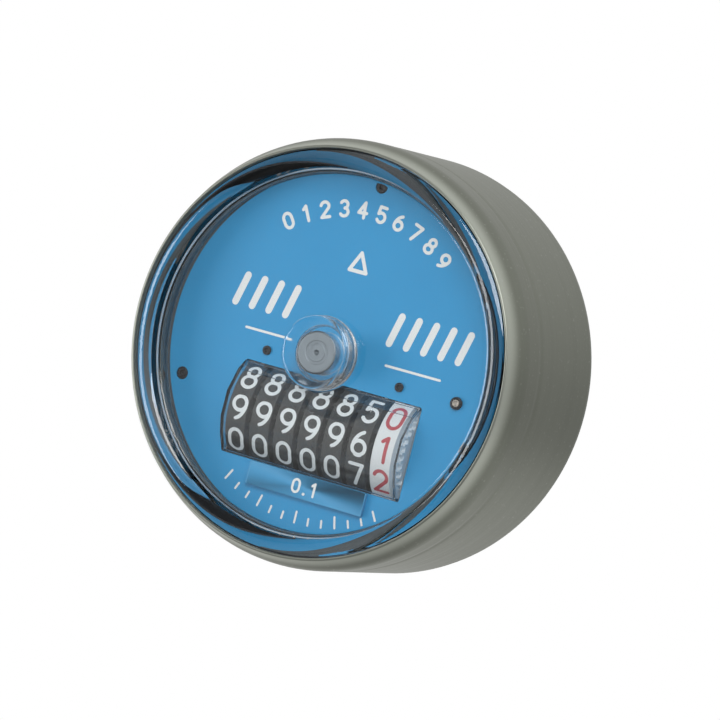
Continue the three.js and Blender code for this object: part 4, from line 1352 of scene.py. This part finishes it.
def washer_mesh():
    inner, outer = NUT_BORE, washer_high.x
    thickness = washer_high.y - washer_low.y - WASHER_RISE
    section = panel(inner, outer, 0, thickness, WASHER_CORNER)
    mesh = bmesh.new()
    rings = []
    for step in range(WASHER_STEPS + 1):
        share = step / WASHER_STEPS
        turn = WASHER_GAP + (2 * math.pi - 2 * WASHER_GAP) * share
        lift = washer_low.y + WASHER_RISE * share
        ring = []
        for r, y in section:
            lean = WASHER_LEAN * (y / thickness - 0.5)
            ring.append(mesh.verts.new(round_axis(r, lift + y, turn + lean)))
        rings.append(ring)
    count = len(section)
    for here, there in zip(rings, rings[1:]):
        for i in range(count):
            mesh.faces.new((here[i], here[(i + 1) % count], there[(i + 1) % count], there[i]))
    mesh.faces.new(rings[0])
    mesh.faces.new(rings[-1])
    return mesh


piece("spring_washer", washer_mesh(), "case", zinc_plate, ["lock_washer"])

# %% [markdown]
# ## The hidden works
#
# The frame, the gears and the weight show only through gaps, or when the object is taken apart.
# Their CAD shapes are right, so they stay, and each gets its own finish.

# %% Finishes for the CAD nodes that stay
KEPT_FINISHES = {
    casting: ["pendulum_weight"],
    sheet_steel: ["front_bridge", "left_side_plate", "right_side_plate", "back_plate"],
    bronze: ["front_bush", "rear_bush"],
    brass: ["worm"],
    cross_brass: ["drive_pinion"],
    bright_steel: ["shaft_clip"],
    cross_steel: ["cross_shaft", "counter_shaft", "transfer_shaft", "compound_axle", "idler_axle"],
    aluminium: ["bridge_rivet"],
    screw_steel: ["foot_screw_1", "foot_screw_2", "foot_screw_3", "foot_screw_4",
                  "weight_screw_1", "weight_screw_2"],
    nylon: ["worm_wheel", "idler_gear", "compound_gear"]
           + [f"transfer_pinion_{number}" for number in range(1, 7)],
    white_plastic: ["tenths_wheel"],
    black_plastic: wheel_names[1:],
}

for finish, names in KEPT_FINISHES.items():
    for name in names:
        nodes[name].data.materials.clear()
        nodes[name].data.materials.append(finish)

kept = {name for names in KEPT_FINISHES.values() for name in names}
hidden = {name for name, node in nodes.items() if node.hide_render}
print("kept:", len(kept), "replaced:", len(hidden), "unpainted:", set(nodes) - kept - hidden)

# %% [markdown]
# ## Light and background
#
# The object stands free on white, with no ground or shadow under it. A lit backdrop would do, but
# its light would wash out the colours. So the world is white to the camera, gives the object only
# half of that light, and shows glass and metal a room that is dark on the camera's side. Large
# soft lamps do the rest, from above and from the left.

# %% The world
world = bpy.data.worlds.new("studio")
bpy.context.scene.world = world
world.use_nodes = True
world.node_tree.nodes.clear()
sky = Tree(world.node_tree)

WORLD_LIGHT = 0.5
ROOM_DARK = 0.14
THROUGH_GLASS = 0.4
ALONG_THE_VIEW = [(0.3, ROOM_DARK), (0.62, 1.0)]
BY_HEIGHT = [(0.0, 0.5), (0.27, 1.25), (0.34, 1.15), (0.41, 0.6), (0.5, 0.66), (0.75, 1.15)]

direction = sky.node("ShaderNodeTexCoord", output="Generated")


def brightness(axis, levels):
    """A grey that follows how far a ray points along one axis, from 0 to 1."""
    along = sky.node("ShaderNodeSeparateXYZ", {}, {0: direction}, axis)
    stops = [(place, (level,) * 3) for place, level in levels]
    return sky.node("ShaderNodeValToRGB", {"stops": stops}, {0: along * 0.5 + 0.5})


# The backdrop behind the object is bright, and the room on the camera's side is dark. Both are
# brightest a little below and above, and darker level with the object and straight below it.
room = brightness("Y", ALONG_THE_VIEW) * brightness("Z", BY_HEIGHT)
room = room + sky.rays("Transmission") * (1 - room) * THROUGH_GLASS
mirrored = sky.rays("Glossy", "Transmission")
lit = WORLD_LIGHT + mirrored * (room - WORLD_LIGHT)
level = lit + sky.rays("Camera") * (1 - WORLD_LIGHT)
background = sky.node("ShaderNodeBackground", {}, {"Color": (1, 1, 1, 1), "Strength": level})
world_output = sky.tree.nodes.new("ShaderNodeOutputWorld")
sky.join(background, world_output.inputs["Surface"])
print("world light", WORLD_LIGHT, "room", ROOM_DARK)

# %% [markdown]
# ## The lamps
#
# Each lamp is a large square, aimed at the middle of the case. A lamp that showed through the
# lens would be a white square in its dark ring, so the lamps are hidden from rays that pass
# through glass.

# %% The lamps
LAMPS = {
    "soft_key": ((350, -700, 480), 450, 4.6),
    "soft_left": ((-640, -600, -100), 360, 2.2),
    "soft_right": ((640, -300, 200), 480, 0.2),
}

case_middle = Vector((0, (case_low.y + case_high.y) / 2, 0)) * MM


def lamp(name, place, size, watts):
    light = bpy.data.lights.new(name, "AREA")
    light.size = size * MM
    light.energy = watts
    made = bpy.data.objects.new(name, light)
    made.visible_transmission = False
    bpy.context.scene.collection.objects.link(made)
    position = Vector(place) * MM
    aim = (case_middle - position).to_track_quat("-Z", "Y")
    made.matrix_world = Matrix.Translation(position) @ aim.to_matrix().to_4x4()


for name, (place, size, watts) in LAMPS.items():
    lamp(name, place, size, watts)
print("lamps:", list(LAMPS))

# %% [markdown]
# ## Handing over
#
# The last line brings the scene up to date, so every place set above is current.

# %% The last update
bpy.context.view_layer.update()
